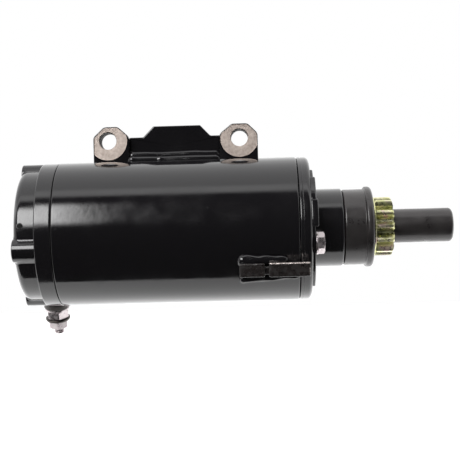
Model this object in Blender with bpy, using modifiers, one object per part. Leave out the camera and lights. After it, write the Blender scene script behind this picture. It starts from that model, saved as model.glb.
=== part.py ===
"""Inertia-drive starter motor, modelled as an assembly of separate pieces.

Metres, +Z up. The motor's axis is X, from the brush end (X = 0, the back of the brush-end cap) to the pinion.
The bracket is on top (+Z). An angle about the axis is measured from the -Y side, upwards.
"""

import math

import bmesh
import bpy
from mathutils import Matrix, Vector

GAP = 0.0003            # clearance between pieces that touch

# Frame tube and caps: stations along the axis, then radii
CAP_STEP_X = 0.0134
CAP_SEAM_X = 0.0233
BRUSH_SPIGOT_X = 0.0270
DRIVE_SPIGOT_X = 0.1600
DRIVE_SEAM_X = 0.1678
DRIVE_FACE_X = 0.1752
PAD_FACE_X = 0.1767
FACE_RIBS = {"low": (0.1777, 22, 46), "high": (0.1787, 1, 24)}
NECK_X = 0.1949
TUBE_R = 0.0440
TUBE_INNER_R = 0.0400
CAP_R = 0.0438
DOME_R = 0.0400
SPIGOT_R = TUBE_INNER_R - GAP
NECK_R = 0.0239
NECK_INNER_R = 0.0190
PAD_HALF_HEIGHT = 0.0345

# Bosses on the rims of both caps, the bolts through them, and the brush plate's screws
BOLT_CIRCLE_R = 0.0365
INNER_BOSS_CIRCLE_R = 0.0328
RIM_BOSS_R = 0.0070
INNER_BOSS_R = RIM_BOSS_R - GAP
RIM_BOSS_ANGLES = (-14, 88, 166, 268)
BOLT_ANGLES = {"front": -14, "rear": 166}
SCREW_ANGLES = {"lower": -75, "upper": 105}
BOLT_R = 0.003175
BOLT_HOLE_R = BOLT_R + GAP
BOLT_HEAD_AF = 0.0111
BOLT_HEAD_HEIGHT = 0.0036
SCREW_R = 0.0019
SCREW_CIRCLE_R = 0.0345
VENT_X = 0.0050
VENT_ANGLE = 8
VENT_R = 0.0015

# Top bracket
EAR_Z = 0.0574
EAR_XS = {"brush": 0.0519, "drive": 0.1336}
EAR_Y = (0.0030, 0.0170)
EAR_LEFT = {"brush": 0.0090, "drive": 0.0124}
EAR_RIGHT = {"brush": 0.0130, "drive": 0.0114}
EAR_FLAT = {"brush": (-0.0024, 0.0063), "drive": (-0.0047, 0.0052)}
EAR_SHOULDER = 0.0026
EAR_TOP = 0.0087
EAR_HOLE_R = 0.00535
EAR_HOLE_CHAMFER = 0.0004
SPOT_FACE_R = 0.0119
SPOT_FACE_DEPTH = 0.0004
PLATE_Y = (0.0080, 0.0140)
PLATE_SHOULDER_Z = 0.0596
PLATE_TOP_Z = 0.0663

# Lower lug
LUG_X = (0.1320, 0.1728)
LUG_FRONT_Y = -0.0470
LUG_Z = (-0.0276, -0.0194)

# Terminal: its angle and station, and heights above the axis
TERMINAL_ANGLE = -110
TERMINAL_X = 0.0152
STUD_R = 0.003175
STUD_TOP = 0.0663
SMALL_NUT_AF = 0.0111
LARGE_NUT_AF = 0.0127

# Brush gear
FIELD_ANGLES = (31, 121, 211, 301)
COMMUTATOR_X = (0.0305, 0.0460)
COMMUTATOR_R = 0.0160
BRUSH_X = 0.0369
BRUSH_SIZE = (0.0120, 0.0070)

# Armature
CORE_X = (0.0620, 0.1380)
CORE_R = 0.0318
SLOTS = 16
SHAFT_R = 0.0075
CORE_SHAFT_R = 0.0110

# Drive
SPLINE_X = (0.1980, 0.2260)
SPLINE_ROOT_R = 0.0070
SPLINE_TIP_R = 0.0079
SPLINE_TEETH = 6
SPLINE_LEAD = 0.0780
SPLINE_STEP = 0.0035
SHELL_X = (0.1953, 0.2130)
SHELL_R = 0.0231
PINION_X = (0.1995, 0.2256)
GEAR_X = 0.2147
GEAR_TEETH = 12
GEAR_MODULE = 0.00254
PINION_HUB_R = 0.0115
SHOULDER_X = 0.2105
COUNTERBORE_R = 0.0107
CUP_X = (0.2250, 0.2620)
CUP_R = 0.0103
CUP_WEB_X = (0.2470, 0.2505)

BLACK = (0.010, 0.010, 0.011)
CHARCOAL = (0.055, 0.053, 0.056)
STEEL = (0.46, 0.43, 0.40)
ZINC = (0.62, 0.60, 0.57)
COPPER = (0.55, 0.24, 0.12)
YELLOW_ZINC = (0.48, 0.50, 0.22)
BRONZE = (0.45, 0.33, 0.17)
BRASS = (0.50, 0.38, 0.15)
PHENOLIC = (0.07, 0.06, 0.055)

AXIAL = Matrix.Rotation(math.pi / 2, 4, "Y")
ALONG_X = Matrix(((0, 0, 1, 0), (1, 0, 0, 0), (0, 1, 0, 0), (0, 0, 0, 1)))
ALONG_Y = Matrix.Rotation(math.pi / 2, 4, "X")


def clear_scene():
    for obj in list(bpy.data.objects):
        bpy.data.objects.remove(obj, do_unlink=True)


def collection(name):
    group = bpy.data.collections.new(name)
    bpy.context.scene.collection.children.link(group)
    return group


clear_scene()
PARTS = collection("starter_motor")
CUTTERS = collection("cutters")


def painted(obj, colour, roughness, metallic):
    """Give the object its own Principled material."""
    material = bpy.data.materials.new(obj.name)
    material.use_nodes = True
    shader = material.node_tree.nodes["Principled BSDF"]
    shader.inputs["Base Color"].default_value = (*colour, 1)
    shader.inputs["Roughness"].default_value = roughness
    shader.inputs["Metallic"].default_value = metallic
    obj.data.materials.clear()
    obj.data.materials.append(material)


def part(obj, name, colour, roughness=0.35, metallic=1.0):
    """Make a shape one of the motor's pieces."""
    CUTTERS.objects.unlink(obj)
    PARTS.objects.link(obj)
    obj.name = name
    obj.data.name = name
    obj.hide_render = False
    obj.display_type = "TEXTURED"
    painted(obj, colour, roughness, metallic)
    return obj


def shape(name, mesh, matrix):
    """A new object, kept with the cutters until it becomes a part."""
    obj = bpy.data.objects.new(name, mesh)
    CUTTERS.objects.link(obj)
    obj.matrix_world = matrix
    obj.hide_render = True
    obj.display_type = "WIRE"
    return obj


def boolean(obj, operation, *others):
    for other in others:
        modifier = obj.modifiers.new(operation.lower(), "BOOLEAN")
        modifier.operation = operation
        modifier.solver = "EXACT"
        modifier.object = other
    return obj


def cut(obj, *cutters):
    return boolean(obj, "DIFFERENCE", *cutters)


def join(obj, *others):
    return boolean(obj, "UNION", *others)


def polar(x, radius, angle):
    """A point at an angle about the motor's axis."""
    turn = math.radians(angle)
    return Vector((x, -radius * math.cos(turn), radius * math.sin(turn)))


def radial(x, angle):
    """A frame at a station on the axis, with local Z outwards at an angle and local X along the axis."""
    return Matrix.Translation((x, 0, 0)) @ Matrix.Rotation(math.radians(90 - angle), 4, "X")


def axial(x, radius=0.0, angle=0.0):
    """A frame whose local Z is the motor's axis, moved off it to a radius and an angle."""
    return Matrix.Translation(polar(x, radius, angle)) @ AXIAL


def rounded(corners, steps=3):
    """Close an outline of (a, b, radius) corners, each rounded by an arc of its radius."""
    points = []
    for i, (a, b, radius) in enumerate(corners):
        here = Vector((a, b))
        if radius == 0:
            points.append(here)
            continue
        before = (Vector(corners[i - 1][:2]) - here).normalized()
        after = (Vector(corners[(i + 1) % len(corners)][:2]) - here).normalized()
        half = before.angle(after) / 2
        centre = here + (before + after).normalized() * radius / math.sin(half)
        start = here + before * radius / math.tan(half) - centre
        turn = math.copysign(math.pi - 2 * half, -before.cross(after))
        points += [centre + Matrix.Rotation(turn * k / steps, 2) @ start for k in range(steps + 1)]
    return points


def circle(radius, count, a=0.0, b=0.0):
    turns = [2 * math.pi * k / count for k in range(count)]
    return [Vector((a + radius * math.cos(t), b + radius * math.sin(t))) for t in turns]


def turned(name, corners, steps, matrix=AXIAL):
    """Turn an outline of (height, radius[, rounding]) corners about local Z."""
    points = rounded([(c[0], c[1], c[2] if len(c) > 2 else 0) for c in corners], 2)
    area = sum(p.y * q.x - q.y * p.x for p, q in zip(points, points[1:] + points[:1]))
    if area > 0:
        points.reverse()
    on_axis = min(p.y for p in points) < 1e-7
    if on_axis:
        first = next(i for i, p in enumerate(points) if p.y < 1e-7 and points[i - 1].y < 1e-7)
        points = points[first:] + points[:first]
    mesh = bpy.data.meshes.new(name)
    edges = [(i, i + 1) for i in range(len(points) - 1)]
    if not on_axis:
        edges.append((len(points) - 1, 0))
    mesh.from_pydata([(p.y, 0, p.x) for p in points], edges, [])
    obj = shape(name, mesh, matrix)
    screw = obj.modifiers.new("screw", "SCREW")
    screw.axis = "Z"
    screw.steps = steps
    screw.render_steps = steps
    screw.use_merge_vertices = True
    screw.merge_threshold = 0.00001
    screw.use_smooth_shade = True
    return obj


def bar(name, bottom, top, radius, steps=24, matrix=AXIAL, chamfer=0.0):
    """A plain round bar along local Z, with an optional chamfer at its top."""
    corners = [(bottom, 0), (bottom, radius), (top - chamfer, radius), (top, radius - chamfer), (top, 0)]
    if chamfer == 0:
        del corners[2]
    return turned(name, corners, steps, matrix)


def ring(name, bottom, top, inner, outer, steps=24, matrix=AXIAL):
    return turned(name, [(bottom, inner), (bottom, outer), (top, outer), (top, inner)], steps, matrix)


def meshed(obj, name, matrix):
    """Turn a curve object into a closed mesh object."""
    graph = bpy.context.evaluated_depsgraph_get()
    mesh = bpy.data.meshes.new_from_object(obj.evaluated_get(graph))
    bm = bmesh.new()
    bm.from_mesh(mesh)
    bmesh.ops.remove_doubles(bm, verts=bm.verts, dist=0.000001)
    bmesh.ops.recalc_face_normals(bm, faces=bm.faces)
    bm.to_mesh(mesh)
    bm.free()
    bpy.data.objects.remove(obj)
    return shape(name, mesh, matrix)


def prism(name, outlines, start, end, matrix):
    """Extrude flat outlines along the frame's local Z, from start to end."""
    curve = bpy.data.curves.new(name, "CURVE")
    curve.dimensions = "2D"
    curve.fill_mode = "BOTH"
    curve.extrude = (end - start) / 2
    for outline in outlines:
        spline = curve.splines.new("POLY")
        spline.points.add(len(outline) - 1)
        for point, place in zip(spline.points, outline):
            point.co = (place[0], place[1], 0, 1)
        spline.use_cyclic_u = True
    obj = bpy.data.objects.new(name, curve)
    CUTTERS.objects.link(obj)
    return meshed(obj, name, matrix @ Matrix.Translation((0, 0, (start + end) / 2)))


def wire(name, points, radius, resolution=2, matrix=Matrix.Identity(4)):
    """A round wire through the points."""
    curve = bpy.data.curves.new(name, "CURVE")
    curve.dimensions = "3D"
    curve.bevel_depth = radius
    curve.bevel_resolution = resolution
    curve.use_fill_caps = True
    spline = curve.splines.new("POLY")
    spline.points.add(len(points) - 1)
    for point, place in zip(spline.points, points):
        point.co = (*place, 1)
    obj = bpy.data.objects.new(name, curve)
    CUTTERS.objects.link(obj)
    return meshed(obj, name, matrix)


def box(name, low, high, matrix=Matrix.Identity(4)):
    mesh = bpy.data.meshes.new(name)
    bm = bmesh.new()
    size = [b - a for a, b in zip(low, high)]
    middle = [(a + b) / 2 for a, b in zip(low, high)]
    place = Matrix.Translation(middle) @ Matrix.Diagonal((*size, 1))
    bmesh.ops.create_cube(bm, size=1, matrix=place)
    bm.to_mesh(mesh)
    bm.free()
    return shape(name, mesh, matrix)


def twisted(name, section, start, end, lead, step):
    """Sweep a closed section along the axis from start to end while it turns left-handed by the lead."""
    mesh = bpy.data.meshes.new(name)
    bm = bmesh.new()
    count = round((end - start) / step)
    turn = Matrix.Rotation(-2 * math.pi * start / lead, 4, "X")
    verts = [bm.verts.new(turn @ Vector((start, a, b))) for a, b in section]
    base = face = bm.faces.new(verts)
    for _ in range(count):
        moved = bmesh.ops.extrude_face_region(bm, geom=[face], use_keep_orig=True)
        if face is not base:
            bm.faces.remove(face)
        face = next(item for item in moved["geom"] if isinstance(item, bmesh.types.BMFace))
        advance = (end - start) / count
        bmesh.ops.translate(bm, verts=face.verts, vec=(advance, 0, 0))
        step_turn = Matrix.Rotation(-2 * math.pi * advance / lead, 3, "X")
        bmesh.ops.rotate(bm, verts=face.verts, cent=(0, 0, 0), matrix=step_turn)
    bmesh.ops.recalc_face_normals(bm, faces=bm.faces)
    bm.to_mesh(mesh)
    bm.free()
    return shape(name, mesh, Matrix.Identity(4))


def hexagon(across_flats):
    """Corner points of a hexagon with a flat facing local -Y."""
    radius = across_flats / math.sqrt(3)
    return circle(radius, 6)


def helix(radius, start, end, turns, per_turn):
    """Points of a coil about local Z."""
    count = round(turns * per_turn)
    points = []
    for k in range(count + 1):
        angle = 2 * math.pi * turns * k / count
        height = start + (end - start) * k / count
        points.append((radius * math.cos(angle), radius * math.sin(angle), height))
    return points


def smooth_path(places, spans):
    """A Catmull-Rom curve through the places, with a number of spans between each two."""
    padded = [places[0] * 2 - places[1], *places, places[-1] * 2 - places[-2]]
    points = []
    for a, b, c, d in zip(padded, padded[1:], padded[2:], padded[3:]):
        for k in range(spans):
            t = k / spans
            square, cube = 2 * a - 5 * b + 4 * c - d, 3 * b - a - 3 * c + d
            bend = 2 * b + (c - a) * t + square * t * t + cube * t ** 3
            points.append(bend / 2)
    return points + [places[-1]]


def tube_clearance(name):
    """Everything inside the tube's outer wall, for fitting what is welded to it."""
    return bar(name, 0.030, 0.180, TUBE_R + GAP, 64)


def frame_tube():
    start = CAP_SEAM_X + GAP
    end = DRIVE_SEAM_X - GAP
    corners = [(start, TUBE_INNER_R), (start, TUBE_R, 0.0005), (end, TUBE_R, 0.0005), (end, TUBE_INNER_R)]
    part(turned("tube", corners, 40), "frame_tube", BLACK, 0.12, 0.0)


def brush_end_cap():
    """A domed cap with four bosses on its rim, and lugs inside for the two bolts and the two screws."""
    wall = 0.0045
    corners = [(0, 0), (0, 0.0130), (0.0006, 0.0132), (0.0006, DOME_R, 0.0040), (CAP_STEP_X, DOME_R)]
    corners += [(CAP_STEP_X, CAP_R, 0.0008), (CAP_SEAM_X, CAP_R), (CAP_SEAM_X, SPIGOT_R)]
    corners += [(BRUSH_SPIGOT_X, SPIGOT_R), (BRUSH_SPIGOT_X, TUBE_INNER_R - wall)]
    corners += [(wall, TUBE_INNER_R - wall), (wall, 0.0105), (0.0200, 0.0105), (0.0200, 0.0078)]
    corners += [(0.0035, 0.0078), (0.0035, 0)]
    cap = turned("cap", corners, 40)
    for angle in RIM_BOSS_ANGLES:
        frame = axial(0, BOLT_CIRCLE_R, angle)
        boss = bar(f"rim_boss_{angle}", 0, CAP_SEAM_X - GAP, RIM_BOSS_R, 16, frame)
        cavity = bar(f"cavity_{angle}", wall / 2, BRUSH_SPIGOT_X, TUBE_INNER_R - wall / 2, 40)
        join(cap, cut(boss, cavity))
    for name, angle in [*BOLT_ANGLES.items(), *SCREW_ANGLES.items()]:
        frame = axial(0, INNER_BOSS_CIRCLE_R, angle)
        join(cap, bar("inner_boss_" + name, 0.0030, BRUSH_SPIGOT_X, INNER_BOSS_R, 12, frame))
    pad = bar("terminal_pad", 0.0370, 0.0442, 0.0078, 20, radial(TERMINAL_X, TERMINAL_ANGLE))
    join(cap, pad)
    for name, angle in BOLT_ANGLES.items():
        cut(cap, bar("bolt_bore_" + name, 0.0075, 0.0300, BOLT_HOLE_R, 10, axial(0, BOLT_CIRCLE_R, angle)))
    for name, angle in SCREW_ANGLES.items():
        cut(cap, bar("screw_bore_" + name, 0.0140, 0.0300, SCREW_R + GAP, 8, axial(0, SCREW_CIRCLE_R, angle)))
    cut(cap, bar("terminal_hole", 0.0300, 0.0500, 0.0053, 14, radial(TERMINAL_X, TERMINAL_ANGLE)))
    cut(cap, bar("vent", 0.0330, 0.0450, VENT_R, 8, radial(VENT_X, VENT_ANGLE)))
    part(cap, "brush_end_cap", BLACK, 0.16, 0.0)


def arc_outline(inner, outer, low, high, steps):
    """A ring segment between two angles, drawn about the motor's axis."""
    turns = [math.radians(low + (high - low) * k / steps) for k in range(steps + 1)]
    outside = [Vector((-outer * math.cos(t), outer * math.sin(t))) for t in turns]
    inside = [Vector((-inner * math.cos(t), inner * math.sin(t))) for t in reversed(turns)]
    return outside + inside


def drive_end_cap():
    """A cap with a neck for the bushing, a raised face with two flat sides, and a stepped rib on its rim."""
    corners = [(DRIVE_SPIGOT_X, SPIGOT_R), (DRIVE_SEAM_X + GAP, SPIGOT_R), (DRIVE_SEAM_X + GAP, CAP_R)]
    corners += [(DRIVE_FACE_X, CAP_R, 0.0014), (DRIVE_FACE_X, NECK_R, 0.0020), (NECK_X, NECK_R, 0.0012)]
    corners += [(NECK_X, 0.0098), (0.1800, 0.0098), (0.1800, 0.0130), (0.1880, 0.0130)]
    corners += [(0.1880, NECK_INNER_R), (0.1710, NECK_INNER_R), (0.1710, 0.0355), (DRIVE_SPIGOT_X, 0.0355)]
    cap = turned("drive_cap", corners, 40)
    radius = CAP_R - 0.0006
    reach = math.degrees(math.asin(PAD_HALF_HEIGHT / radius))
    sides = []
    for middle in (0, 180):
        turns = [math.radians(middle + reach * (k / 6 - 1)) for k in range(13)]
        sides += [Vector((radius * math.cos(t), radius * math.sin(t))) for t in turns]
    centre_hole = circle(NECK_R - 0.0010, 40)
    join(cap, prism("face_pad", [sides, centre_hole], DRIVE_FACE_X - 0.0020, PAD_FACE_X, ALONG_X))
    for name, (face, low, high) in FACE_RIBS.items():
        rib = arc_outline(0.0375, 0.0426, low, high, 6)
        join(cap, prism("face_rib_" + name, [rib], DRIVE_FACE_X - 0.0010, face, ALONG_X))
    for name, angle in BOLT_ANGLES.items():
        frame = axial(0, INNER_BOSS_CIRCLE_R, angle)
        join(cap, bar("inner_boss_" + name, DRIVE_SPIGOT_X, 0.1730, INNER_BOSS_R, 12, frame))
    for name, angle in BOLT_ANGLES.items():
        cut(cap, bar("bolt_bore_" + name, 0.1500, 0.1900, BOLT_HOLE_R, 10, axial(0, BOLT_CIRCLE_R, angle)))
    part(cap, "drive_end_cap", BLACK, 0.14, 0.0)


def ear_outline(name):
    """One bracket boss from the side: a flat top, sloped shoulders and straight sides down into the tube."""
    x = EAR_XS[name]
    left, right = x - EAR_LEFT[name], x + EAR_RIGHT[name]
    flat_left, flat_right = (x + offset for offset in EAR_FLAT[name])
    shoulder, top = EAR_Z + EAR_SHOULDER, EAR_Z + EAR_TOP
    corners = [(left, 0.0300, 0), (left, shoulder, 0.0040), (flat_left, top, 0.0035)]
    corners += [(flat_right, top, 0.0035), (right, shoulder, 0.0040), (right, 0.0300, 0)]
    return rounded(corners)


def bracket_bosses():
    for name, x in EAR_XS.items():
        boss = prism("boss_" + name, [ear_outline(name)], -EAR_Y[1], -EAR_Y[0], ALONG_Y)
        cut(boss, tube_clearance("boss_fit_" + name))
        frame = Matrix.Translation((x, 0, EAR_Z)) @ ALONG_Y
        face = -EAR_Y[0]
        cut(boss, bar("spot_face_" + name, face - SPOT_FACE_DEPTH, face + 0.0010, SPOT_FACE_R, 28, frame))
        flare = EAR_HOLE_R + EAR_HOLE_CHAMFER
        chamfer = face - SPOT_FACE_DEPTH - EAR_HOLE_CHAMFER
        hole = [(face - 0.0150, 0), (face - 0.0150, EAR_HOLE_R), (chamfer, EAR_HOLE_R)]
        hole += [(face - SPOT_FACE_DEPTH, flare), (face + 0.0010, flare)]
        cut(boss, turned("bore_" + name, [*hole, (face + 0.0010, 0)], 20, frame))
        part(boss, "bracket_boss_" + name, STEEL, 0.45, 1.0)


def bracket_span():
    """Where the plate and its welds start and end along the axis, between the two bosses."""
    start = EAR_XS["brush"] + EAR_RIGHT["brush"] + GAP
    return start, EAR_XS["drive"] - EAR_LEFT["drive"] - GAP


def bracket_plate():
    start, end = bracket_span()
    low, high = PLATE_SHOULDER_Z, PLATE_TOP_Z
    corners = [(start, 0.0300, 0), (start, low, 0), (0.0734, low, 0.0010), (0.0800, high, 0.0010)]
    corners += [(0.1092, high, 0.0010), (0.1155, low, 0.0010), (end, low, 0), (end, 0.0300, 0)]
    plate = prism("plate", [rounded(corners)], -PLATE_Y[1], -PLATE_Y[0], ALONG_Y)
    cut(plate, tube_clearance("plate_fit"))
    part(plate, "bracket_plate", BLACK, 0.15, 0.0)


def bracket_welds():
    """A fillet of weld metal along each side of the plate."""
    start, end = bracket_span()
    for name, plate_y, side, tall in (("front", PLATE_Y[0], -1, 0.0508), ("rear", PLATE_Y[1], 1, 0.0480)):
        edge = plate_y + side * GAP
        corners = [(edge, 0.0370, 0), (edge, tall, 0), (edge + side * 0.0042, tall - 0.0036, 0.0040)]
        corners += [(edge + side * 0.0058, 0.0380, 0)]
        bead = prism("bead_" + name, [rounded(corners)], start, end, ALONG_X)
        cut(bead, tube_clearance("bead_fit_" + name))
        part(bead, "bracket_weld_" + name, BLACK, 0.18, 0.0)


def lug_blocks(grow, tag):
    """The lug's two blocks and the lower web between them, grown all round by a clearance."""
    back, front = -0.0250, LUG_FRONT_Y
    left, right = LUG_X
    low, high = LUG_Z
    blocks = {
        "left": ((left, front, low + 0.0002), (left + 0.0146, back, high - 0.0002)),
        "web": ((left + 0.0120, front + 0.0030, low + 0.0015), (left + 0.0190, back, high - 0.0020)),
        "right": ((right - 0.0238, front, low), (right, back, high)),
    }
    solids = []
    for name, (lowest, highest) in blocks.items():
        lowest = [value - grow for value in lowest]
        highest = [value + grow for value in highest]
        solids.append(box("lug_" + name + tag, lowest, highest))
    return join(solids[0], *solids[1:])


def mounting_lug():
    lug = cut(lug_blocks(0, ""), tube_clearance("lug_fit"))
    part(lug, "mounting_lug", (0.030, 0.022, 0.022), 0.6, 0.3)
    beads = {
        "top": (0.1302, 0.1600, -0.0408, -0.0184, 0.0032),
        "bottom": (0.1326, 0.1660, -0.0360, -0.0286, 0.0028),
    }
    for name, (start, end, y, z, radius) in beads.items():
        bead = prism("lug_bead_" + name, [circle(radius, 14, y, z)], start, end, ALONG_X)
        cut(bead, tube_clearance("lug_bead_fit_" + name), lug_blocks(GAP, "_room_" + name))
        part(bead, "lug_weld_" + name, BLACK, 0.2, 0.0)


def terminal():
    frame = radial(TERMINAL_X, TERMINAL_ANGLE)
    bore = STUD_R + GAP
    stud = bar("stud", 0.0290, STUD_TOP, STUD_R, 14, frame, 0.0010)
    join(stud, bar("stud_head", 0.0285, 0.0318, 0.0055, 14, frame))
    part(stud, "terminal_stud", ZINC, 0.3, 1.0)
    outer = [(0.0344, bore), (0.0344, 0.0048), (0.0445, 0.0048), (0.0445, 0.0080)]
    outer += [(0.0480, 0.0080, 0.0008), (0.0480, bore)]
    part(turned("outer", outer, 20, frame), "terminal_insulator_outer", PHENOLIC, 0.6, 0.0)
    inner = ring("inner", 0.0322, 0.0340, bore, 0.0074, 16, frame)
    part(inner, "terminal_insulator_inner", PHENOLIC, 0.6, 0.0)
    washer = ring("flat", 0.0483, 0.0493, bore, 0.0076, 18, frame)
    part(washer, "terminal_flat_washer", ZINC, 0.3, 1.0)
    nuts = (("inner", LARGE_NUT_AF, 0.0496, 0.0549), ("outer", SMALL_NUT_AF, 0.0567, 0.0619))
    for name, across, low, high in nuts:
        nut = prism("nut_" + name, [hexagon(across), circle(bore, 14)], low, high, frame)
        part(nut, "terminal_nut_" + name, ZINC, 0.28, 1.0)
    lock = ring("lock", 0.0552, 0.0564, bore, 0.0078, 18, frame)
    part(lock, "terminal_lock_washer", (0.20, 0.19, 0.18), 0.4, 1.0)


def terminal_lead():
    """A flexible lead from the stud's head, through the brush plate's notch, to a brush box."""
    stops = ((0.0212, 0.0301, 250), (0.0240, 0.0305, 250), (0.0285, 0.0325, 249), (0.0330, 0.0320, 240))
    stops += ((0.0355, 0.0300, 230), (0.0369, 0.0280, 222.3))
    places = [polar(x, radius, angle) for x, radius, angle in stops]
    part(wire("lead", smooth_path(places, 3), 0.0012, 1), "terminal_lead", COPPER, 0.45, 1.0)


def through_bolts():
    washer_x = PAD_FACE_X + GAP
    head_x = washer_x + 0.0012 + GAP
    for name, angle in BOLT_ANGLES.items():
        frame = axial(0, BOLT_CIRCLE_R, angle)
        bolt = bar("shank_" + name, 0.0100, head_x + 0.0010, BOLT_R, 12, frame)
        place = Matrix.Translation(polar(0, BOLT_CIRCLE_R, angle)) @ ALONG_X
        place = place @ Matrix.Rotation(math.pi / 6, 4, "Z")
        head = prism("head_" + name, [hexagon(BOLT_HEAD_AF)], head_x, head_x + BOLT_HEAD_HEIGHT, place)
        part(join(bolt, head), "through_bolt_" + name, ZINC, 0.25, 1.0)
        washer = ring("bolt_washer_" + name, washer_x, washer_x + 0.0012, BOLT_HOLE_R, 0.0067, 18, frame)
        part(washer, "through_bolt_washer_" + name, ZINC, 0.3, 1.0)


def bushings():
    part(ring("brush_bush", 0.0043, 0.0197, 0.0063, 0.0075, 20), "brush_end_bushing", BRONZE, 0.4, 1.0)
    part(ring("drive_bush", 0.1803, 0.1946, 0.0078, 0.0095, 20), "drive_end_bushing", BRONZE, 0.4, 1.0)


def field_magnets():
    half_arc = 36
    for number, angle in enumerate(FIELD_ANGLES, 1):
        outline = arc_outline(0.0327, TUBE_INNER_R - GAP, angle - half_arc, angle + half_arc, 8)
        magnet = prism("magnet", [outline], 0.0600, 0.1400, ALONG_X)
        part(magnet, f"field_magnet_{number}", (0.06, 0.06, 0.065), 0.6, 0.0)


def brush_gear():
    plate = ring("carrier", BRUSH_SPIGOT_X + GAP, 0.0293, 0.0172, 0.0396, 36)
    for name, angle in BOLT_ANGLES.items():
        cut(plate, bar("carrier_notch_" + name, 0.0200, 0.0350, 0.0046, 12, axial(0, 0.0374, angle)))
    for name, angle in SCREW_ANGLES.items():
        frame = axial(0, SCREW_CIRCLE_R, angle)
        cut(plate, bar("carrier_hole_" + name, 0.0200, 0.0350, SCREW_R + GAP, 8, frame))
        screw = bar("screw_" + name, 0.0160, 0.0310, SCREW_R, 8, frame)
        join(screw, bar("screw_head_" + name, 0.0296, 0.0316, 0.0034, 12, frame))
        part(screw, "brush_plate_screw_" + name, ZINC, 0.3, 1.0)
    cut(plate, bar("lead_notch", 0.0200, 0.0350, 0.0030, 10, axial(0, 0.0326, TERMINAL_ANGLE)))
    part(plate, "brush_plate", BRASS, 0.4, 1.0)
    for number, angle in enumerate(FIELD_ANGLES, 1):
        brush_station(number, radial(BRUSH_X, angle))


def brush_station(number, frame):
    """One brush in its box, pressed towards the commutator by a coil spring."""
    long, wide = (size / 2 for size in BRUSH_SIZE)
    wall = 0.0010
    slot_x, slot_y = long + GAP, wide + GAP
    out_x, out_y = slot_x + wall, slot_y + wall
    holder = box("holder", (-out_x, -out_y, 0.0185), (out_x, out_y, 0.0365), frame)
    cut(holder, box("holder_slot", (-slot_x, -slot_y, 0.0180), (slot_x, slot_y, 0.0355), frame))
    part(holder, f"brush_box_{number}", BRASS, 0.35, 1.0)
    carbon = box("carbon", (-long, -wide, COMMUTATOR_R + GAP), (long, wide, 0.0273), frame)
    part(carbon, f"carbon_brush_{number}", (0.03, 0.03, 0.032), 0.7, 0.0)
    coil = wire("coil", helix(0.0026, 0.0279, 0.0349, 3, 6), 0.0003, 1, frame)
    part(coil, f"brush_spring_{number}", ZINC, 0.35, 1.0)


def core_outline():
    """The laminations: a disc with T-shaped slots open at the rim."""
    points = []
    pitch = 2 * math.pi / SLOTS
    tooth = ((CORE_R, -0.40), (CORE_R, 0), (CORE_R, 0.40), (0.0304, 0.40), (0.0298, 0.24), (0.0190, 0.34))
    slot = ((0.0190, 0.66), (0.0298, 0.76), (0.0304, 0.60))
    for k in range(SLOTS):
        for radius, share in tooth + slot:
            turn = (k + share) * pitch
            points.append(Vector((radius * math.cos(turn), radius * math.sin(turn))))
    return points


def armature_core():
    core = prism("core", [core_outline(), circle(CORE_SHAFT_R + GAP, 24)], *CORE_X, ALONG_X)
    part(core, "armature_core", (0.20, 0.19, 0.19), 0.5, 1.0)


def armature_winding():
    """Both end turns and the bars that run through the slots."""
    brush_side = [(0.0470, 0.0135), (0.0470, 0.0260, 0.0020), (0.0530, 0.0310, 0.0030)]
    brush_side += [(0.0617, 0.0310), (0.0617, 0.0135)]
    drive_side = [(0.1383, 0.0135), (0.1383, 0.0310), (0.1500, 0.0310, 0.0040)]
    drive_side += [(0.1560, 0.0240, 0.0020), (0.1560, 0.0135)]
    winding = join(turned("end_turns_brush", brush_side, 24), turned("end_turns_drive", drive_side, 24))
    pitch = 360 / SLOTS
    for k in range(SLOTS):
        angle = 90 - (k + 0.5) * pitch
        slot_bar = box(f"slot_bar_{k}", (0.0610, -0.0009, 0.0198), (0.1390, 0.0009, 0.0288), radial(0, angle))
        join(winding, slot_bar)
    part(winding, "armature_winding", COPPER, 0.35, 1.0)


def commutator():
    start, end = COMMUTATOR_X
    corners = [(start, 0.0083), (start, COMMUTATOR_R, 0.0006), (end, COMMUTATOR_R, 0.0006), (end, 0.0083)]
    part(turned("segments", corners, 28), "commutator", COPPER, 0.3, 1.0)


def thrust_washers():
    part(ring("brush_thrust", 0.0206, 0.0216, 0.0064, 0.0100, 16), "thrust_washer_brush", STEEL, 0.35, 1.0)
    part(ring("drive_thrust", 0.1786, 0.1797, 0.0078, 0.0110, 16), "thrust_washer_drive", STEEL, 0.35, 1.0)


def spline_section(clearance=0.0):
    """The shaft's splined section, grown by a clearance: each tooth has two flanks between root and tip."""
    root = SPLINE_ROOT_R + clearance
    tip = SPLINE_TIP_R + clearance
    pitch = 2 * math.pi / SPLINE_TEETH
    points = []
    for k in range(SPLINE_TEETH):
        flank = clearance / root / pitch
        low, high = 0.25 + flank, 0.20 + flank
        for radius, share in ((root, -low), (tip, -high), (tip, 0), (tip, high), (root, low)):
            turn = (k + share) * pitch
            points.append((radius * math.cos(turn), radius * math.sin(turn)))
        turn = (k + 0.5) * pitch
        points.append((root * math.cos(turn), root * math.sin(turn)))
    return points


def armature_shaft():
    corners = [(0.0045, 0), (0.0045, 0.0060, 0.0006), (0.0219, 0.0060), (0.0219, 0.0080), (0.0465, 0.0080)]
    corners += [(0.0465, CORE_SHAFT_R), (0.1783, CORE_SHAFT_R, 0.0006), (0.1783, SHAFT_R), (0.1985, SHAFT_R)]
    corners += [(0.1985, 0.0065), (0.2300, 0.0060), (0.2467, 0.0060), (0.2467, 0.0040)]
    corners += [(0.2595, 0.0040, 0.0006), (0.2595, 0)]
    shaft = turned("shaft", corners, 24)
    join(shaft, twisted("spline", spline_section(), *SPLINE_X, SPLINE_LEAD, SPLINE_STEP))
    part(shaft, "armature_shaft", STEEL, 0.3, 1.0)


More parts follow.
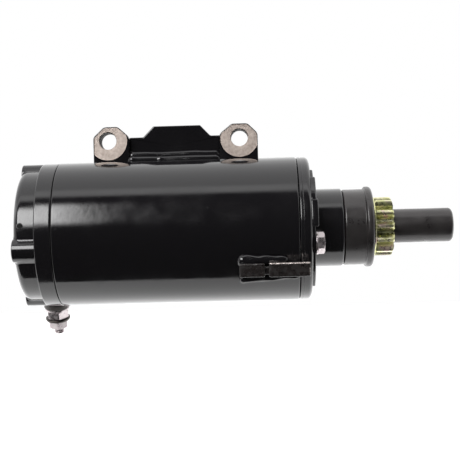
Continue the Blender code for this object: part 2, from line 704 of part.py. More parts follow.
def drive_shell():
    start, end = SHELL_X
    corners = [(start, SHAFT_R + GAP), (start, SHELL_R, 0.0010), (0.2084, SHELL_R), (0.2084, 0.0246, 0.0010)]
    corners += [(end, 0.0246, 0.0018), (end, 0.0208), (0.1978, 0.0208), (0.1978, SHAFT_R + GAP)]
    part(turned("shell", corners, 32), "drive_shell", CHARCOAL, 0.42, 0.6)
    cushion = [(0.1981, 0.0120), (0.1981, 0.0204), (0.2120, 0.0204, 0.0015), (0.2120, 0.0120)]
    part(turned("cushion", cushion, 24), "rubber_cushion", (0.02, 0.02, 0.02), 0.8, 0.0)


def gear_outline():
    """Twelve involute teeth, with a flat root between them."""
    pitch_r = GEAR_TEETH * GEAR_MODULE / 2
    base_r = pitch_r * math.cos(math.radians(20))
    tip_r = pitch_r + GEAR_MODULE
    root_r = pitch_r - 1.25 * GEAR_MODULE

    def half_angle(radius):
        tilt = math.acos(min(1.0, base_r / radius))
        pressure = math.radians(20)
        return math.pi / 2 / GEAR_TEETH + math.tan(pressure) - pressure - math.tan(tilt) + tilt

    flank = [root_r] + [base_r + (tip_r - base_r) * k / 3 for k in range(4)]
    points = []
    for tooth in range(GEAR_TEETH):
        middle = 2 * math.pi * tooth / GEAR_TEETH
        rising = [(r, middle - half_angle(max(r, base_r))) for r in flank]
        falling = [(r, middle + half_angle(max(r, base_r))) for r in reversed(flank)]
        points += [Vector((r * math.cos(t), r * math.sin(t))) for r, t in rising + falling]
    return points


def pinion():
    start, end = PINION_X
    teeth = prism("teeth", [gear_outline()], GEAR_X, end, ALONG_X)
    tip_r = GEAR_MODULE * (GEAR_TEETH / 2 + 1) + 0.0010
    lead_in = [(GEAR_X - 0.0010, 0), (GEAR_X - 0.0010, tip_r)]
    lead_in += [(end - 0.0008, tip_r), (end + 0.0004, tip_r - 0.0024)]
    boolean(teeth, "INTERSECT", turned("lead_in", [*lead_in, (end + 0.0004, 0)], 36))
    join(teeth, bar("hub", start, GEAR_X + 0.0010, PINION_HUB_R, 24))
    cut(teeth, bar("counterbore", SHOULDER_X, end + 0.0020, COUNTERBORE_R, 28))
    bore_end = SHOULDER_X + 0.0020
    bore_start = start - 0.0020
    cut(teeth, twisted("spline_bore", spline_section(GAP), bore_start, bore_end, SPLINE_LEAD, SPLINE_STEP))
    part(teeth, "pinion", YELLOW_ZINC, 0.35, 1.0)
    hole = PINION_HUB_R + GAP
    plate = [(0.2133, hole), (0.2133, 0.0186), (0.2144, 0.0186, 0.0004), (0.2144, hole)]
    part(turned("flange_plate", plate, 28), "pinion_plate", YELLOW_ZINC, 0.35, 1.0)


def spring_cup():
    mouth, end = CUP_X
    web, recess = CUP_WEB_X
    corners = [(mouth, 0.0095), (mouth, CUP_R, 0.0004), (end, CUP_R, 0.0014), (end, 0.0085), (recess, 0.0085)]
    corners += [(recess, 0.0043), (web, 0.0043), (web, 0.0095)]
    part(turned("cup", corners, 28), "spring_cup", CHARCOAL, 0.4, 0.6)
    spring = wire("return_coil", helix(0.0088, 0.2125, 0.2463, 6, 14), 0.0005, 1, AXIAL)
    part(spring, "return_spring", STEEL, 0.35, 1.0)
    part(ring("seat", SHOULDER_X + GAP, 0.2118, 0.0082, 0.0104, 24), "spring_washer", STEEL, 0.35, 1.0)
    nut = prism("nut", [circle(0.0127 / math.sqrt(3), 6), circle(0.0043, 14)], recess + GAP, 0.2575, ALONG_X)
    part(nut, "lock_nut", ZINC, 0.3, 1.0)


frame_tube()
brush_end_cap()
drive_end_cap()
bracket_bosses()
bracket_plate()
bracket_welds()
mounting_lug()
terminal()
terminal_lead()
through_bolts()
bushings()
field_magnets()
brush_gear()
armature_core()
armature_winding()
commutator()
thrust_washers()
armature_shaft()
drive_shell()
pinion()
spring_cup()
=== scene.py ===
"""The finished look of an inertia-drive starter motor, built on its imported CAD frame.

Metres, +Z up. The motor's axis is X, from the brush end to the pinion. An angle about the axis is measured from the
-Y side, upwards. Every new surface is a grid of points worked out as whole arrays.
"""

import math

import bmesh
import bpy
import numpy as np
from mathutils import Matrix, Vector


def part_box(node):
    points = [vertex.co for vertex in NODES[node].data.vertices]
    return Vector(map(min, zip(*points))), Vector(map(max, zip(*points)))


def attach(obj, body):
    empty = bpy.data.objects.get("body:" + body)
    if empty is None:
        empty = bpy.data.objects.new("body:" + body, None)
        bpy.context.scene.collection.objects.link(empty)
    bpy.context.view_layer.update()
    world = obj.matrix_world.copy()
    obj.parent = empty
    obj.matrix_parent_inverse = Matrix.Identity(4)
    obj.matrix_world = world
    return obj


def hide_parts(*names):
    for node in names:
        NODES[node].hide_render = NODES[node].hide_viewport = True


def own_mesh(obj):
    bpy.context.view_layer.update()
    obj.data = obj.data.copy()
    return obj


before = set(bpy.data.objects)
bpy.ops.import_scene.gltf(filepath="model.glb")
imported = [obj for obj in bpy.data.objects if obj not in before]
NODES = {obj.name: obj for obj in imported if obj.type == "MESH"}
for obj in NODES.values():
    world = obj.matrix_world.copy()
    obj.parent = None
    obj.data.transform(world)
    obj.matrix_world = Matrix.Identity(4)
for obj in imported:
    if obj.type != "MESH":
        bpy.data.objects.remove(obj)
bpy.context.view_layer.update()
MM = 0.001
TAU = 2 * math.pi
GAP = 0.3 * MM


# ---------------------------------------------------------------- sizes read from the frame

def span(node):
    """A node's first and last station along the motor's axis, and its outer radius."""
    low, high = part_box(node)
    return low.x, high.x, (high.y - low.y) / 2


TUBE_START, TUBE_END, TUBE_R = span("frame_tube")
SEAM_X = TUBE_START
CAP_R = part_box("drive_end_cap")[1].z
_, NECK_X, _ = span("drive_end_cap")
SHELL_START, SHELL_END, SHELL_LIP_R = span("drive_shell")
CUP_START, CUP_END, CUP_R = span("spring_cup")
PINION_START, PINION_END, _ = span("pinion")
PLATE_START, PLATE_END, PLATE_R = span("pinion_plate")

STEP_X = 13.4 * MM
DOME_R = 40 * MM
DOME_FACE_X = 0.6 * MM
NECK_R = 23.9 * MM
DRIVE_FACE_X = 175.2 * MM
PAD_FACE_X = 176.7 * MM
PAD_HALF_HEIGHT = 34.5 * MM
FACE_RIBS = {"low": (177.7, 22, 46), "high": (178.7, 1, 24)}
BOLT_CIRCLE_R = 36.5 * MM
BOSS_R = 7 * MM
BOSS_ANGLES = (-14, 88, 166, 268)
BOLT_ANGLES = {"front": -14, "rear": 166}
EAR_Z = 57.4 * MM
EAR_HOLE_R = 5.35 * MM
EARS = {"brush": (51.9, 9.0, 13.0, -2.4, 6.3), "drive": (133.6, 12.4, 11.4, -4.7, 5.2)}
TERMINAL_X = 15.2 * MM
TERMINAL_ANGLE = -110
STUD_R = 3.175 * MM
BRUSH_X = 36.9 * MM


# ---------------------------------------------------------------- frames

def polar(x, radius, angle):
    """A point at an angle about the motor's axis."""
    turn = math.radians(angle)
    return np.array((x, -radius * math.cos(turn), radius * math.sin(turn)))


def axial(x=0.0, radius=0.0, angle=0.0):
    """Local Z runs along the motor's axis, local X along +Y and local Y along +Z."""
    return polar(x, radius, angle), np.array(((0, 1, 0), (0, 0, 1), (1, 0, 0)), float)


def radial(x, angle):
    """Local Z points out from the axis at an angle, and local X runs along the axis."""
    turn = math.radians(angle)
    out = (0, -math.cos(turn), math.sin(turn))
    side = (0, math.sin(turn), math.cos(turn))
    return np.array((x, 0, 0)), np.array(((1, 0, 0), side, out), float)


def facing(x=0.0, z=0.0):
    """Local Z points to -Y, local X along the axis and local Y up."""
    return np.array((x, 0, z)), np.array(((1, 0, 0), (0, 0, 1), (0, -1, 0)), float)


def mm(*corners):
    """Corners given in millimetres, in metres."""
    return [tuple(value * MM for value in corner) for corner in corners]


def placed(points, where):
    """Points of a local frame, in the object's."""
    origin, basis = where
    return origin + points @ basis


# ---------------------------------------------------------------- surfaces

def rounded(corners, steps=6):
    """Points of a closed outline of (a, b[, radius]) corners. A corner with a radius becomes an arc that touches both
    of its sides: its centre lies on the corner's bisector, radius / sin(half angle) away."""
    flat = np.array([corner[:2] for corner in corners], float)
    points = []
    for i, corner in enumerate(corners):
        radius = corner[2] if len(corner) > 2 else 0
        if radius == 0:
            points.append(flat[i][None])
            continue
        before = flat[i - 1] - flat[i]
        after = flat[(i + 1) % len(flat)] - flat[i]
        before /= np.linalg.norm(before)
        after /= np.linalg.norm(after)
        half = math.acos(np.clip(before @ after, -1, 1)) / 2
        middle = (before + after) / np.linalg.norm(before + after)
        centre = flat[i] + middle * radius / math.sin(half)
        arm = flat[i] + before * radius / math.tan(half) - centre
        sign = -np.sign(before[0] * after[1] - before[1] * after[0])
        turns = sign * (math.pi - 2 * half) * np.linspace(0, 1, steps + 1)
        cos, sin = np.cos(turns), np.sin(turns)
        points.append(centre + np.stack((arm[0] * cos - arm[1] * sin, arm[0] * sin + arm[1] * cos), 1))
    return np.concatenate(points)


def spaced(outline, gap):
    """The outline with extra points, so that no two neighbours are further apart than the gap."""
    after = np.roll(outline, -1, axis=0)
    counts = np.maximum(1, np.ceil(np.linalg.norm(after - outline, axis=1) / gap).astype(int))
    runs = [a + (b - a) * (np.arange(n) / n)[:, None] for a, b, n in zip(outline, after, counts)]
    return np.concatenate(runs)


def grid_object(name, points, wrap_rows, wrap_columns=True, ends=False, sharp=38, bare=None):
    """An object on a grid of points, rows by columns. Wrapped lines join last to first, and ends closes the first
    and last rows with a face each. Doubles at poles are merged, faces are turned outwards, and edges that turn by
    more than the sharp angle stay sharp. Bare is kept as an attribute of the points, for bare metal: milled faces, and
    edges that are partly worn and partly a painted highlight."""
    rows, columns = points.shape[:2]
    index = np.arange(rows * columns).reshape(rows, columns)
    down = np.roll(index, -1, axis=0) if wrap_rows else index[1:]
    upper = index if wrap_rows else index[:-1]
    right = np.roll(upper, -1, axis=1)
    down_right = np.roll(down, -1, axis=1)
    quads = np.stack((upper, right, down_right, down), -1)
    if not wrap_columns:
        quads = quads[:, :-1]
    faces = quads.reshape(-1, 4).tolist()
    if ends:
        faces += [index[0, ::-1].tolist(), index[-1].tolist()]
    mesh = bpy.data.meshes.new(name)
    mesh.from_pydata(points.reshape(-1, 3).tolist(), [], faces)
    if bare is not None:
        bare_metal = mesh.attributes.new("bare", "FLOAT", "POINT")
        bare_metal.data.foreach_set("value", np.broadcast_to(bare, (rows, columns)).astype(np.float32).ravel())
    bm = bmesh.new()
    bm.from_mesh(mesh)
    bmesh.ops.remove_doubles(bm, verts=bm.verts, dist=2e-7)
    bmesh.ops.recalc_face_normals(bm, faces=bm.faces)
    bm.to_mesh(mesh)
    bm.free()
    mesh.shade_smooth()
    mesh.set_sharp_from_angle(angle=math.radians(sharp))
    obj = bpy.data.objects.new(name, mesh)
    bpy.context.scene.collection.objects.link(obj)
    return obj


def revolved(name, heights, radii, angles, where, closed, **options):
    """A surface about local Z: a point's height and radius are functions of its row and its angle."""
    heights, radii = np.broadcast_arrays(heights, radii)
    heights, radii, turns = np.broadcast_arrays(heights, radii, np.asarray(angles)[None, :])
    points = np.stack((radii * np.cos(turns), radii * np.sin(turns), heights), -1)
    return grid_object(name, placed(points, where), closed, **options)


def guarded(outline, closed, gap=0.3 * MM):
    """The outline with a point just inside both ends of every long side, so that a rounded corner's shading stops
    where the corner does."""
    runs = []
    for i, here in enumerate(outline):
        after = outline[(i + 1) % len(outline)]
        step = (after - here) * gap / max(np.linalg.norm(after - here), 1e-9)
        long = np.linalg.norm(after - here) > 4 * gap and (closed or i < len(outline) - 1)
        runs.append(np.array([here, here + step, after - step] if long else [here]))
    return np.concatenate(runs)


def around(count):
    """Evenly spaced angles of a full turn."""
    return np.arange(count) * TAU / count


def lathed(name, corners, where=None, sides=144, steps=6, **options):
    """A turned piece: an outline of (height, radius[, rounding]) corners carried round local Z. An outline that
    starts and ends on the axis is left open there, and its poles close it."""
    outline = rounded(corners, steps)
    on_axis = outline[0, 1] == 0
    outline = guarded(outline, not on_axis)
    heights, radii = outline[:, :1], outline[:, 1:]
    return revolved(name, heights, radii, around(sides), where or axial(), not on_axis, **options)


def smooth_max(a, b, blend):
    """The larger of two values, with the corner between them filled over the blend's width."""
    near = np.maximum(blend - np.abs(a - b), 0) / blend
    return np.maximum(a, b) + near ** 2 * blend / 4


def clipped(name, stations, outline_radii, angles, bore, where, **options):
    """A prism whose radius at each angle is an outline's, held under a limit that changes along it: each station is
    (height, limit). A round bore runs through it."""
    heights = np.array([height for height, _ in stations])[:, None]
    limits = np.array([limit for _, limit in stations])[:, None]
    outside = np.minimum(np.asarray(outline_radii)[None, :], limits)
    first, last = heights[0, 0], heights[-1, 0]
    inside = np.full((2, outside.shape[1]), bore)
    heights = np.concatenate((heights, ((last,), (first,))))
    return revolved(name, heights, np.concatenate((outside, inside)), angles, where, True, **options)


def slab(name, outline, low, high, edge, where, steps=4, bare_metal=False, **options):
    """A flat plate: an outline extruded along local Z, its rims quarter-rounded by moving each point inwards along
    the outline's normal, with one more line just inside each rim to keep the faces flat. Shrinking copies close the
    faces. A slab can be made bare along its upper and right front edges: partly worn metal, partly a painted
    highlight where those edges face the light."""
    shares = (0, 0.3, 0.6, 0.85)
    after, before = np.roll(outline, -1, axis=0), np.roll(outline, 1, axis=0)
    along = after - before
    normal = np.stack((along[:, 1], -along[:, 0]), 1) / np.linalg.norm(along, axis=1)[:, None]
    turning = np.sum(outline[:, 0] * after[:, 1] - outline[:, 1] * after[:, 0])
    normal *= np.sign(turning)
    turns = np.linspace(0, math.pi / 2, steps + 1)
    inset = np.concatenate(([edge * 1.6], edge * (1 - np.sin(turns))))
    lift = np.concatenate(([0], edge * (1 - np.cos(turns))))
    insets = np.concatenate((inset, inset[::-1]))
    heights = np.concatenate((low + lift, high - lift[::-1]))
    flat = outline[None] - normal[None] * insets[:, None, None]
    middle = (outline.max(0) + outline.min(0)) / 2
    fan = middle + (flat[0] - middle) * np.array(shares)[:, None, None]
    flat = np.concatenate((fan, flat, fan[::-1]))
    heights = np.concatenate(([low] * len(shares), heights, [high] * len(shares)))
    tall = np.broadcast_to(heights[:, None, None], (*flat.shape[:2], 1))
    # Bare metal along the front edges that face up and to the right: partly rubbed wear, partly painted highlight
    # where these edges catch the light.
    if bare_metal:
        bare = np.zeros(flat.shape[:2])
        rim = len(insets) // 2 + len(shares)
        bare[rim:rim + steps + 1] = np.clip(normal[:, 1] + 0.6 * normal[:, 0], 0, 1)
        options["bare"] = bare
    return grid_object(name, placed(np.concatenate((flat, tall), -1), where), False, **options)


def dying(reach):
    """The share of a radius that is left where it closes to nothing by a quarter circle, as the reach falls to 0."""
    return np.sqrt(1 - (1 - np.clip(reach, 0, 1)) ** 2)


def lumpy_rod(name, start, end, radius, taper, ripple, lumps, seed, squeeze=(1.0, 1.0), sides=36, rows=110):
    """A run of weld metal: an ellipse carried from start to end, its radius closing to nothing at both ends by a
    quarter circle and tapering along the run, swollen by crescent ripples and by low waves of seeded phase."""
    rng = np.random.default_rng(seed)
    phase = rng.uniform(0, TAU, 4)
    start, end = np.array(start), np.array(end)
    length = np.linalg.norm(end - start)
    t = np.linspace(0, 1, rows)[:, None]
    turns = around(sides)[None, :]
    closing = dying(np.minimum(t, 1 - t) * length / radius)
    crescent = 0.5 + 0.5 * np.cos(lumps * TAU * t + 1.2 * np.cos(turns))
    waves = np.sin(2 * t * TAU + 2 * turns + phase[0]) + np.sin(3 * t * TAU - 3 * turns + phase[1])
    size = radius * closing * (1 - taper * t) * (1 + ripple * crescent + 0.6 * ripple * waves)
    drift = radius * 0.08 * np.sin(2 * TAU * t + phase[2])
    middle = start + (end - start) * t
    x = np.broadcast_to(middle[:, :1], size.shape)
    y = middle[:, 1:2] + size * np.cos(turns) * squeeze[0] + drift
    z = middle[:, 2:3] + size * np.sin(turns) * squeeze[1]
    return grid_object(name, np.stack((x, y, z), -1), False, sharp=80)


def coil(name, radius, low, high, turns, wire, where):
    """A spring: round wire carried along a helix, its section spanned by the outward direction and by the one square
    to both that and the helix's tangent."""
    turn = np.linspace(0, turns * TAU, turns * 40 + 1)[:, None]
    slope = (high - low) / (turns * TAU * radius)
    out = np.concatenate((np.cos(turn), np.sin(turn), 0 * turn), 1)
    across = np.concatenate((slope * np.sin(turn), -slope * np.cos(turn), 1 + 0 * turn), 1) / math.hypot(1, slope)
    middle = out * radius
    middle[:, 2] = np.linspace(low, high, len(turn))
    section = around(10)[None, :, None]
    points = middle[:, None] + wire * (np.cos(section) * out[:, None] + np.sin(section) * across[:, None])
    return grid_object(name, placed(points, where), False, ends=True)


# ---------------------------------------------------------------- materials

def linear(colour):
    """A hex sRGB colour as linear values."""
    values = [int(colour[i:i + 2], 16) / 255 for i in (1, 3, 5)]
    return (*[v / 12.92 if v <= 0.04045 else ((v + 0.055) / 1.055) ** 2.4 for v in values], 1)


def add(tree, kind, links=(), **settings):
    """Add a node, set its properties and its sockets (a socket is named with spaces as underscores), and link it."""
    node = tree.nodes.new("ShaderNode" + kind)
    for key, value in settings.items():
        if hasattr(node, key):
            setattr(node, key, value)
        else:
            node.inputs[key.replace("_", " ")].default_value = value
    for output, socket in links:
        tree.links.new(output, node.inputs[socket])
    return node


def finish_named(name, colour, roughness, metallic=0.0):
    """A material with its shader and object coordinates, ready for its patterns."""
    material = bpy.data.materials.new(name)
    material.use_nodes = True
    tree = material.node_tree
    shader = tree.nodes["Principled BSDF"]
    shader.inputs["Base Color"].default_value = linear(colour)
    shader.inputs["Roughness"].default_value = roughness
    shader.inputs["Metallic"].default_value = metallic
    place = tree.nodes.new("ShaderNodeTexCoord").outputs["Object"]
    return material, tree, shader, place


def cells(size_mm):
    """A noise scale whose features are about this many millimetres across."""
    return 1000 / size_mm


def lines(radian_mm):
    """A wave scale that turns by a radian in this many millimetres, so that its lines are 6.28 times as far apart. A
    wave node multiplies its scaled place by 20."""
    return 1000 / radian_mm / 20


def patterned(tree, shader, place, size_mm, low, high, socket="Roughness", detail=3):
    """Vary a value between low and high with noise of a real size."""
    noise = add(tree, "TexNoise", [(place, "Vector")], Scale=cells(size_mm), Detail=detail)
    spread = add(tree, "MapRange", [(noise.outputs["Fac"], "Value")], From_Min=0.3, From_Max=0.7, To_Min=low,
                 To_Max=high)
    tree.links.new(spread.outputs["Result"], shader.inputs[socket])
    return noise


def bumped(tree, shader, height, depth_mm, strength=1.0):
    """Raise the surface by a pattern, its depth in millimetres, on top of any bump already there."""
    bump = add(tree, "Bump", [(height, "Height")], Distance=depth_mm * MM, Strength=strength)
    old = shader.inputs["Normal"].links
    if old:
        tree.links.new(old[0].from_socket, bump.inputs["Normal"])
    tree.links.new(bump.outputs["Normal"], shader.inputs["Normal"])


def grained(tree, shader, place, size_mm, depth_mm, detail=3):
    """Raise the surface by noise of a real size."""
    grain = add(tree, "TexNoise", [(place, "Vector")], Scale=cells(size_mm), Detail=detail)
    bumped(tree, shader, grain.outputs["Fac"], depth_mm)


def blended(tree, shader, mask, *colours):
    """Base colour from one colour to another by a mask. Each is a hex value, or an earlier blend's result."""
    mix = add(tree, "Mix", [(mask, "Factor")], data_type="RGBA")
    sockets = [socket for socket in mix.inputs if socket.type == "RGBA"]
    for socket, colour in zip(sockets, colours):
        if isinstance(colour, str):
            socket.default_value = linear(colour)
        else:
            tree.links.new(colour, socket)
    result = next(socket for socket in mix.outputs if socket.type == "RGBA")
    tree.links.new(result, shader.inputs["Base Color"])
    return result


def black_enamel():
    """Gloss stoving enamel: nearly mirror-black, with the soft waviness of sprayed paint and a few dust nibs."""
    material, tree, shader, place = finish_named("black stoving enamel", "#0d0c0e", 0.12)
    patterned(tree, shader, place, 14, 0.07, 0.16)
    grained(tree, shader, place, 2.6, 0.012, 2)
    nibs = add(tree, "TexVoronoi", [(place, "Vector")], Scale=cells(5))
    nib = add(tree, "MapRange", [(nibs.outputs["Distance"], "Value")], From_Min=0.05, From_Max=0.0)
    bumped(tree, shader, nib.outputs["Result"], 0.03)
    return material


def cast_enamel():
    """The same enamel over a die casting: the casting's fine grain shows through as a softer gloss."""
    material, tree, shader, place = finish_named("black enamel on die casting", "#0f0e10", 0.14)
    patterned(tree, shader, place, 9, 0.08, 0.18)
    grained(tree, shader, place, 1.3, 0.012)
    return material


def machined_ear(x, z):
    """Bare milled steel where the attribute says so, with the cutter's rings about the hole; enamel elsewhere."""
    material, tree, shader, place = finish_named("milled steel ear", "#b3a79e", 0.42, 1.0)
    centred = add(tree, "Mapping", [(place, "Vector")], Location=(-x, 0, -z))
    rings = add(tree, "TexWave", [(centred.outputs["Vector"], "Vector")], wave_type="RINGS", rings_direction="Y",
                Scale=lines(0.9), Distortion=1.5, Detail=3, Detail_Scale=2)
    grit = add(tree, "TexNoise", [(place, "Vector")], Scale=cells(1.4), Detail=5)
    bare = add(tree, "Attribute", attribute_name="bare")
    bare_metal = add(tree, "MapRange", [(bare.outputs["Fac"], "Value")], From_Min=0.4, From_Max=0.6)
    toned = blended(tree, shader, grit.outputs["Fac"], "#8a7d76", "#d2c6bd")
    blended(tree, shader, bare_metal.outputs["Result"], "#0d0c0e", toned)
    tree.links.new(bare_metal.outputs["Result"], shader.inputs["Metallic"])
    rough = add(tree, "MapRange", [(bare_metal.outputs["Result"], "Value")], To_Min=0.12, To_Max=0.5)
    tree.links.new(rough.outputs["Result"], shader.inputs["Roughness"])
    marks = add(tree, "Math", [(rings.outputs["Fac"], 0), (bare_metal.outputs["Result"], 1)], operation="MULTIPLY")
    bumped(tree, shader, marks.outputs["Value"], 0.03)
    bumped(tree, shader, grit.outputs["Fac"], 0.02)
    return material


def zinc_plate():
    """Bright zinc on steel hardware: a cool silver with faint cloudy passivation and handling scuffs."""
    material, tree, shader, place = finish_named("bright zinc plate", "#a8a0a4", 0.28, 1.0)
    cloud = patterned(tree, shader, place, 3, 0.2, 0.38)
    blended(tree, shader, cloud.outputs["Fac"], "#8d8489", "#c4bdbc")
    grained(tree, shader, place, 0.7, 0.012, 5)
    return material


def yellow_chromate():
    """Yellow chromate over zinc: straw yellow and green films that drift to pink, glossy on the tooth tips."""
    material, tree, shader, place = finish_named("yellow chromate on zinc", "#c3c67c", 0.3, 1.0)
    film = add(tree, "TexNoise", [(place, "Vector")], Scale=cells(7), Detail=2, Distortion=0.4)
    ramp = add(tree, "ValToRGB", [(film.outputs["Fac"], "Fac")])
    elements = ramp.color_ramp.elements
    elements[0].position, elements[0].color = 0.34, linear("#9a9c7c")
    elements[1].position, elements[1].color = 0.70, linear("#c9b0aa")
    for position, colour in ((0.46, "#c4c490"), (0.58, "#d0cdac")):
        elements.new(position).color = linear(colour)
    tree.links.new(ramp.outputs["Color"], shader.inputs["Base Color"])
    patterned(tree, shader, place, 2, 0.22, 0.4)
    grained(tree, shader, place, 0.8, 0.004)
    return material


def phosphated_steel():
    """Oiled phosphate on turned steel: satin charcoal, with turning marks about 0.5 mm apart, drawn 6 mm apart so
    that they show."""
    material, tree, shader, place = finish_named("oiled phosphate steel", "#29272b", 0.32, 0.2)
    cloud = patterned(tree, shader, place, 8, 0.26, 0.4)
    blended(tree, shader, cloud.outputs["Fac"], "#1a1818", "#312e2e")
    turning = add(tree, "TexWave", [(place, "Vector")], wave_type="BANDS", bands_direction="X", Scale=lines(0.9),
                  Distortion=0.4, Detail=2)
    bumped(tree, shader, turning.outputs["Fac"], 0.006)
    grained(tree, shader, place, 0.6, 0.01)
    return material


def rough_black_steel():
    """Sawn bar under thin black paint: pitted and brown-black, with bare metal along its upper and right edges that is
    partly rubbed wear and partly a painted highlight.
    """
    material, tree, shader, place = finish_named("painted sawn steel", "#141011", 0.3)
    pits = add(tree, "TexNoise", [(place, "Vector")], Scale=cells(1.6), Detail=6)
    painted = blended(tree, shader, pits.outputs["Fac"], "#080707", "#211c1b")
    edge = add(tree, "Attribute", attribute_name="bare")
    # Light bare metal on the edges that face up and right, broken up by the pits: partly chipped paint, partly painted
    # highlight.
    edge_chips_and_highlight = add(tree, "Math", [(edge.outputs["Fac"], 0), (pits.outputs["Fac"], 1)], operation="MULTIPLY")
    rubbed_and_highlit = add(tree, "MapRange", [(edge_chips_and_highlight.outputs["Value"], "Value")], From_Min=0.3, From_Max=0.45)
    blended(tree, shader, rubbed_and_highlit.outputs["Result"], painted, "#c4bab6")
    tree.links.new(rubbed_and_highlit.outputs["Result"], shader.inputs["Metallic"])
    patterned(tree, shader, place, 2.4, 0.2, 0.4)
    bumped(tree, shader, pits.outputs["Fac"], 0.14)
    return material


def dull_solid(name, dark, light, rough_low, rough_high, size_mm, depth_mm=0.02, metallic=0.0, detail=5):
    """A solid whose tone and gloss drift over a real grain size."""
    material, tree, shader, place = finish_named(name, light, rough_low, metallic)
    grain = patterned(tree, shader, place, size_mm, rough_low, rough_high, detail=detail)
    blended(tree, shader, grain.outputs["Fac"], dark, light)
    bumped(tree, shader, grain.outputs["Fac"], depth_mm)
    return material


def plain_metal(name, dark, light, rough_low, rough_high, size_mm, depth_mm=0.01):
    """The same for a bare metal, whose grain is softer."""
    return dull_solid(name, dark, light, rough_low, rough_high, size_mm, depth_mm, 1.0, 4)


def laminations():
    """A stack of silicon-steel sheets 0.5 mm thick, drawn 6 mm apart so that the stack shows."""
    material, tree, shader, place = finish_named("stacked silicon steel", "#6d6a68", 0.45, 1.0)
    sheets = add(tree, "TexWave", [(place, "Vector")], wave_type="BANDS", bands_direction="X", Scale=lines(1))
    blended(tree, shader, sheets.outputs["Fac"], "#4a4847", "#837f7c")
    bumped(tree, shader, sheets.outputs["Fac"], 0.05)
    patterned(tree, shader, place, 3, 0.38, 0.55)
    return material


def wound_copper():
    """Lacquered copper wire, 1.2 mm thick, laid along the slots and over the end turns. Its turns are drawn 7.5 mm
    apart so that they show."""
    material, tree, shader, place = finish_named("lacquered copper wire", "#a8562b", 0.3, 1.0)
    wires = add(tree, "TexWave", [(place, "Vector")], wave_type="RINGS", rings_direction="X", Scale=lines(1.2),
                Distortion=2, Detail=2)
    blended(tree, shader, wires.outputs["Fac"], "#6e3218", "#c07040")
    bumped(tree, shader, wires.outputs["Fac"], 0.2)
    patterned(tree, shader, place, 4, 0.25, 0.4)
    return material


# ---------------------------------------------------------------- pieces

def fitted(obj, material, slot, *nodes, body="stator"):
    """Give a piece its finish, the CAD nodes that it stands for and its body."""
    obj.data.materials.append(material)
    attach(obj, body)
    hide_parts(*nodes)


def frame_tube(enamel):
    """A plain drawn tube, its ends rounded."""
    inner = TUBE_R - 4 * MM
    corners = [(TUBE_START, inner), (TUBE_START, TUBE_R, 0.7 * MM), (TUBE_END, TUBE_R, 0.9 * MM), (TUBE_END, inner)]
    fitted(lathed("tube_body", corners, sides=192), enamel, "black_enamel", "frame_tube")


def brush_end_cap(enamel):
    """The dome's radius at each station and angle is the larger of the turned profile's and the rim bosses', with a
    fillet where they meet. A boss's outer wall at an angle d from its middle lies at c cos d + sqrt(r^2 - c^2 sin^2 d)
    for a boss of radius r on a circle of radius c. Profiles are (height along the axis, radius[, rounding])."""
    corners = [(0, 0), (0, 13 * MM, 0.3 * MM), (DOME_FACE_X, 13.6 * MM, 0.3 * MM), (DOME_FACE_X, DOME_R, 4 * MM)]
    corners += [(STEP_X, DOME_R, 0.5 * MM), (STEP_X, CAP_R, 0.9 * MM)]
    corners += [(STEP_X + 1.2 * MM, CAP_R), (SEAM_X - 1.3 * MM, CAP_R), (SEAM_X - GAP, CAP_R, 0.7 * MM)]
    corners += [(SEAM_X - GAP, 39 * MM)]
    corners += mm((4.5, 35.5), (4.5, 10.5), (20, 10.5), (20, 7.8), (3.5, 7.8), (3.5, 0))
    outline = rounded(corners, 8)
    wall = np.linspace((4.8 * MM, DOME_R), (STEP_X - 0.6 * MM, DOME_R), 12)
    first = int(np.argmax(outline[:, 0] > 5 * MM))
    outline = np.concatenate((outline[:first], wall, outline[first:]))
    angles = around(432)
    seen = math.pi - angles
    radii = np.broadcast_to(outline[:, 1:], (len(outline), len(angles))).copy()
    on_dome = (outline[:, 1] > 30 * MM) & (outline[:, 0] < STEP_X + 0.1 * MM) & (np.arange(len(outline)) < first + 20)
    for boss in BOSS_ANGLES:
        turn = np.angle(np.exp(1j * (seen - math.radians(boss))))
        inside = np.maximum(BOSS_R ** 2 - (BOLT_CIRCLE_R * np.sin(turn)) ** 2, 0)
        reach = np.where(np.cos(turn) > 0, BOLT_CIRCLE_R * np.cos(turn) + np.sqrt(inside), 0) - 0.12 * MM
        reach = np.where(inside > 0, reach, 38 * MM - (np.abs(turn) - 0.19) * 40 * MM)
        raised = smooth_max(radii, reach[None, :], 2.2 * MM)
        radii = np.where(on_dome[:, None] & (np.abs(turn) < 0.6)[None, :], raised, radii)
    cap = revolved("cap_dome", outline[:, :1], radii, angles, axial(), False, sharp=50)
    fitted(cap, enamel, "black_enamel", "brush_end_cap")
    for number, angle in enumerate(BOSS_ANGLES, 1):
        ends = [(0, 0), (0, BOSS_R, 0.7 * MM), (STEP_X + 1 * MM, BOSS_R), (STEP_X + 1 * MM, 0)]
        boss = lathed(f"cap_boss_{number}", ends, axial(0, BOLT_CIRCLE_R, angle), 64)
        fitted(boss, enamel, "black_enamel", "brush_end_cap")
    pad = mm((36, 5.2), (36, 7.8), (44.2, 7.8, 0.5), (44.2, 5.2))
    pad = lathed("cap_terminal_pad", pad, radial(TERMINAL_X, TERMINAL_ANGLE), 72)
    fitted(pad, enamel, "black_enamel", "brush_end_cap")


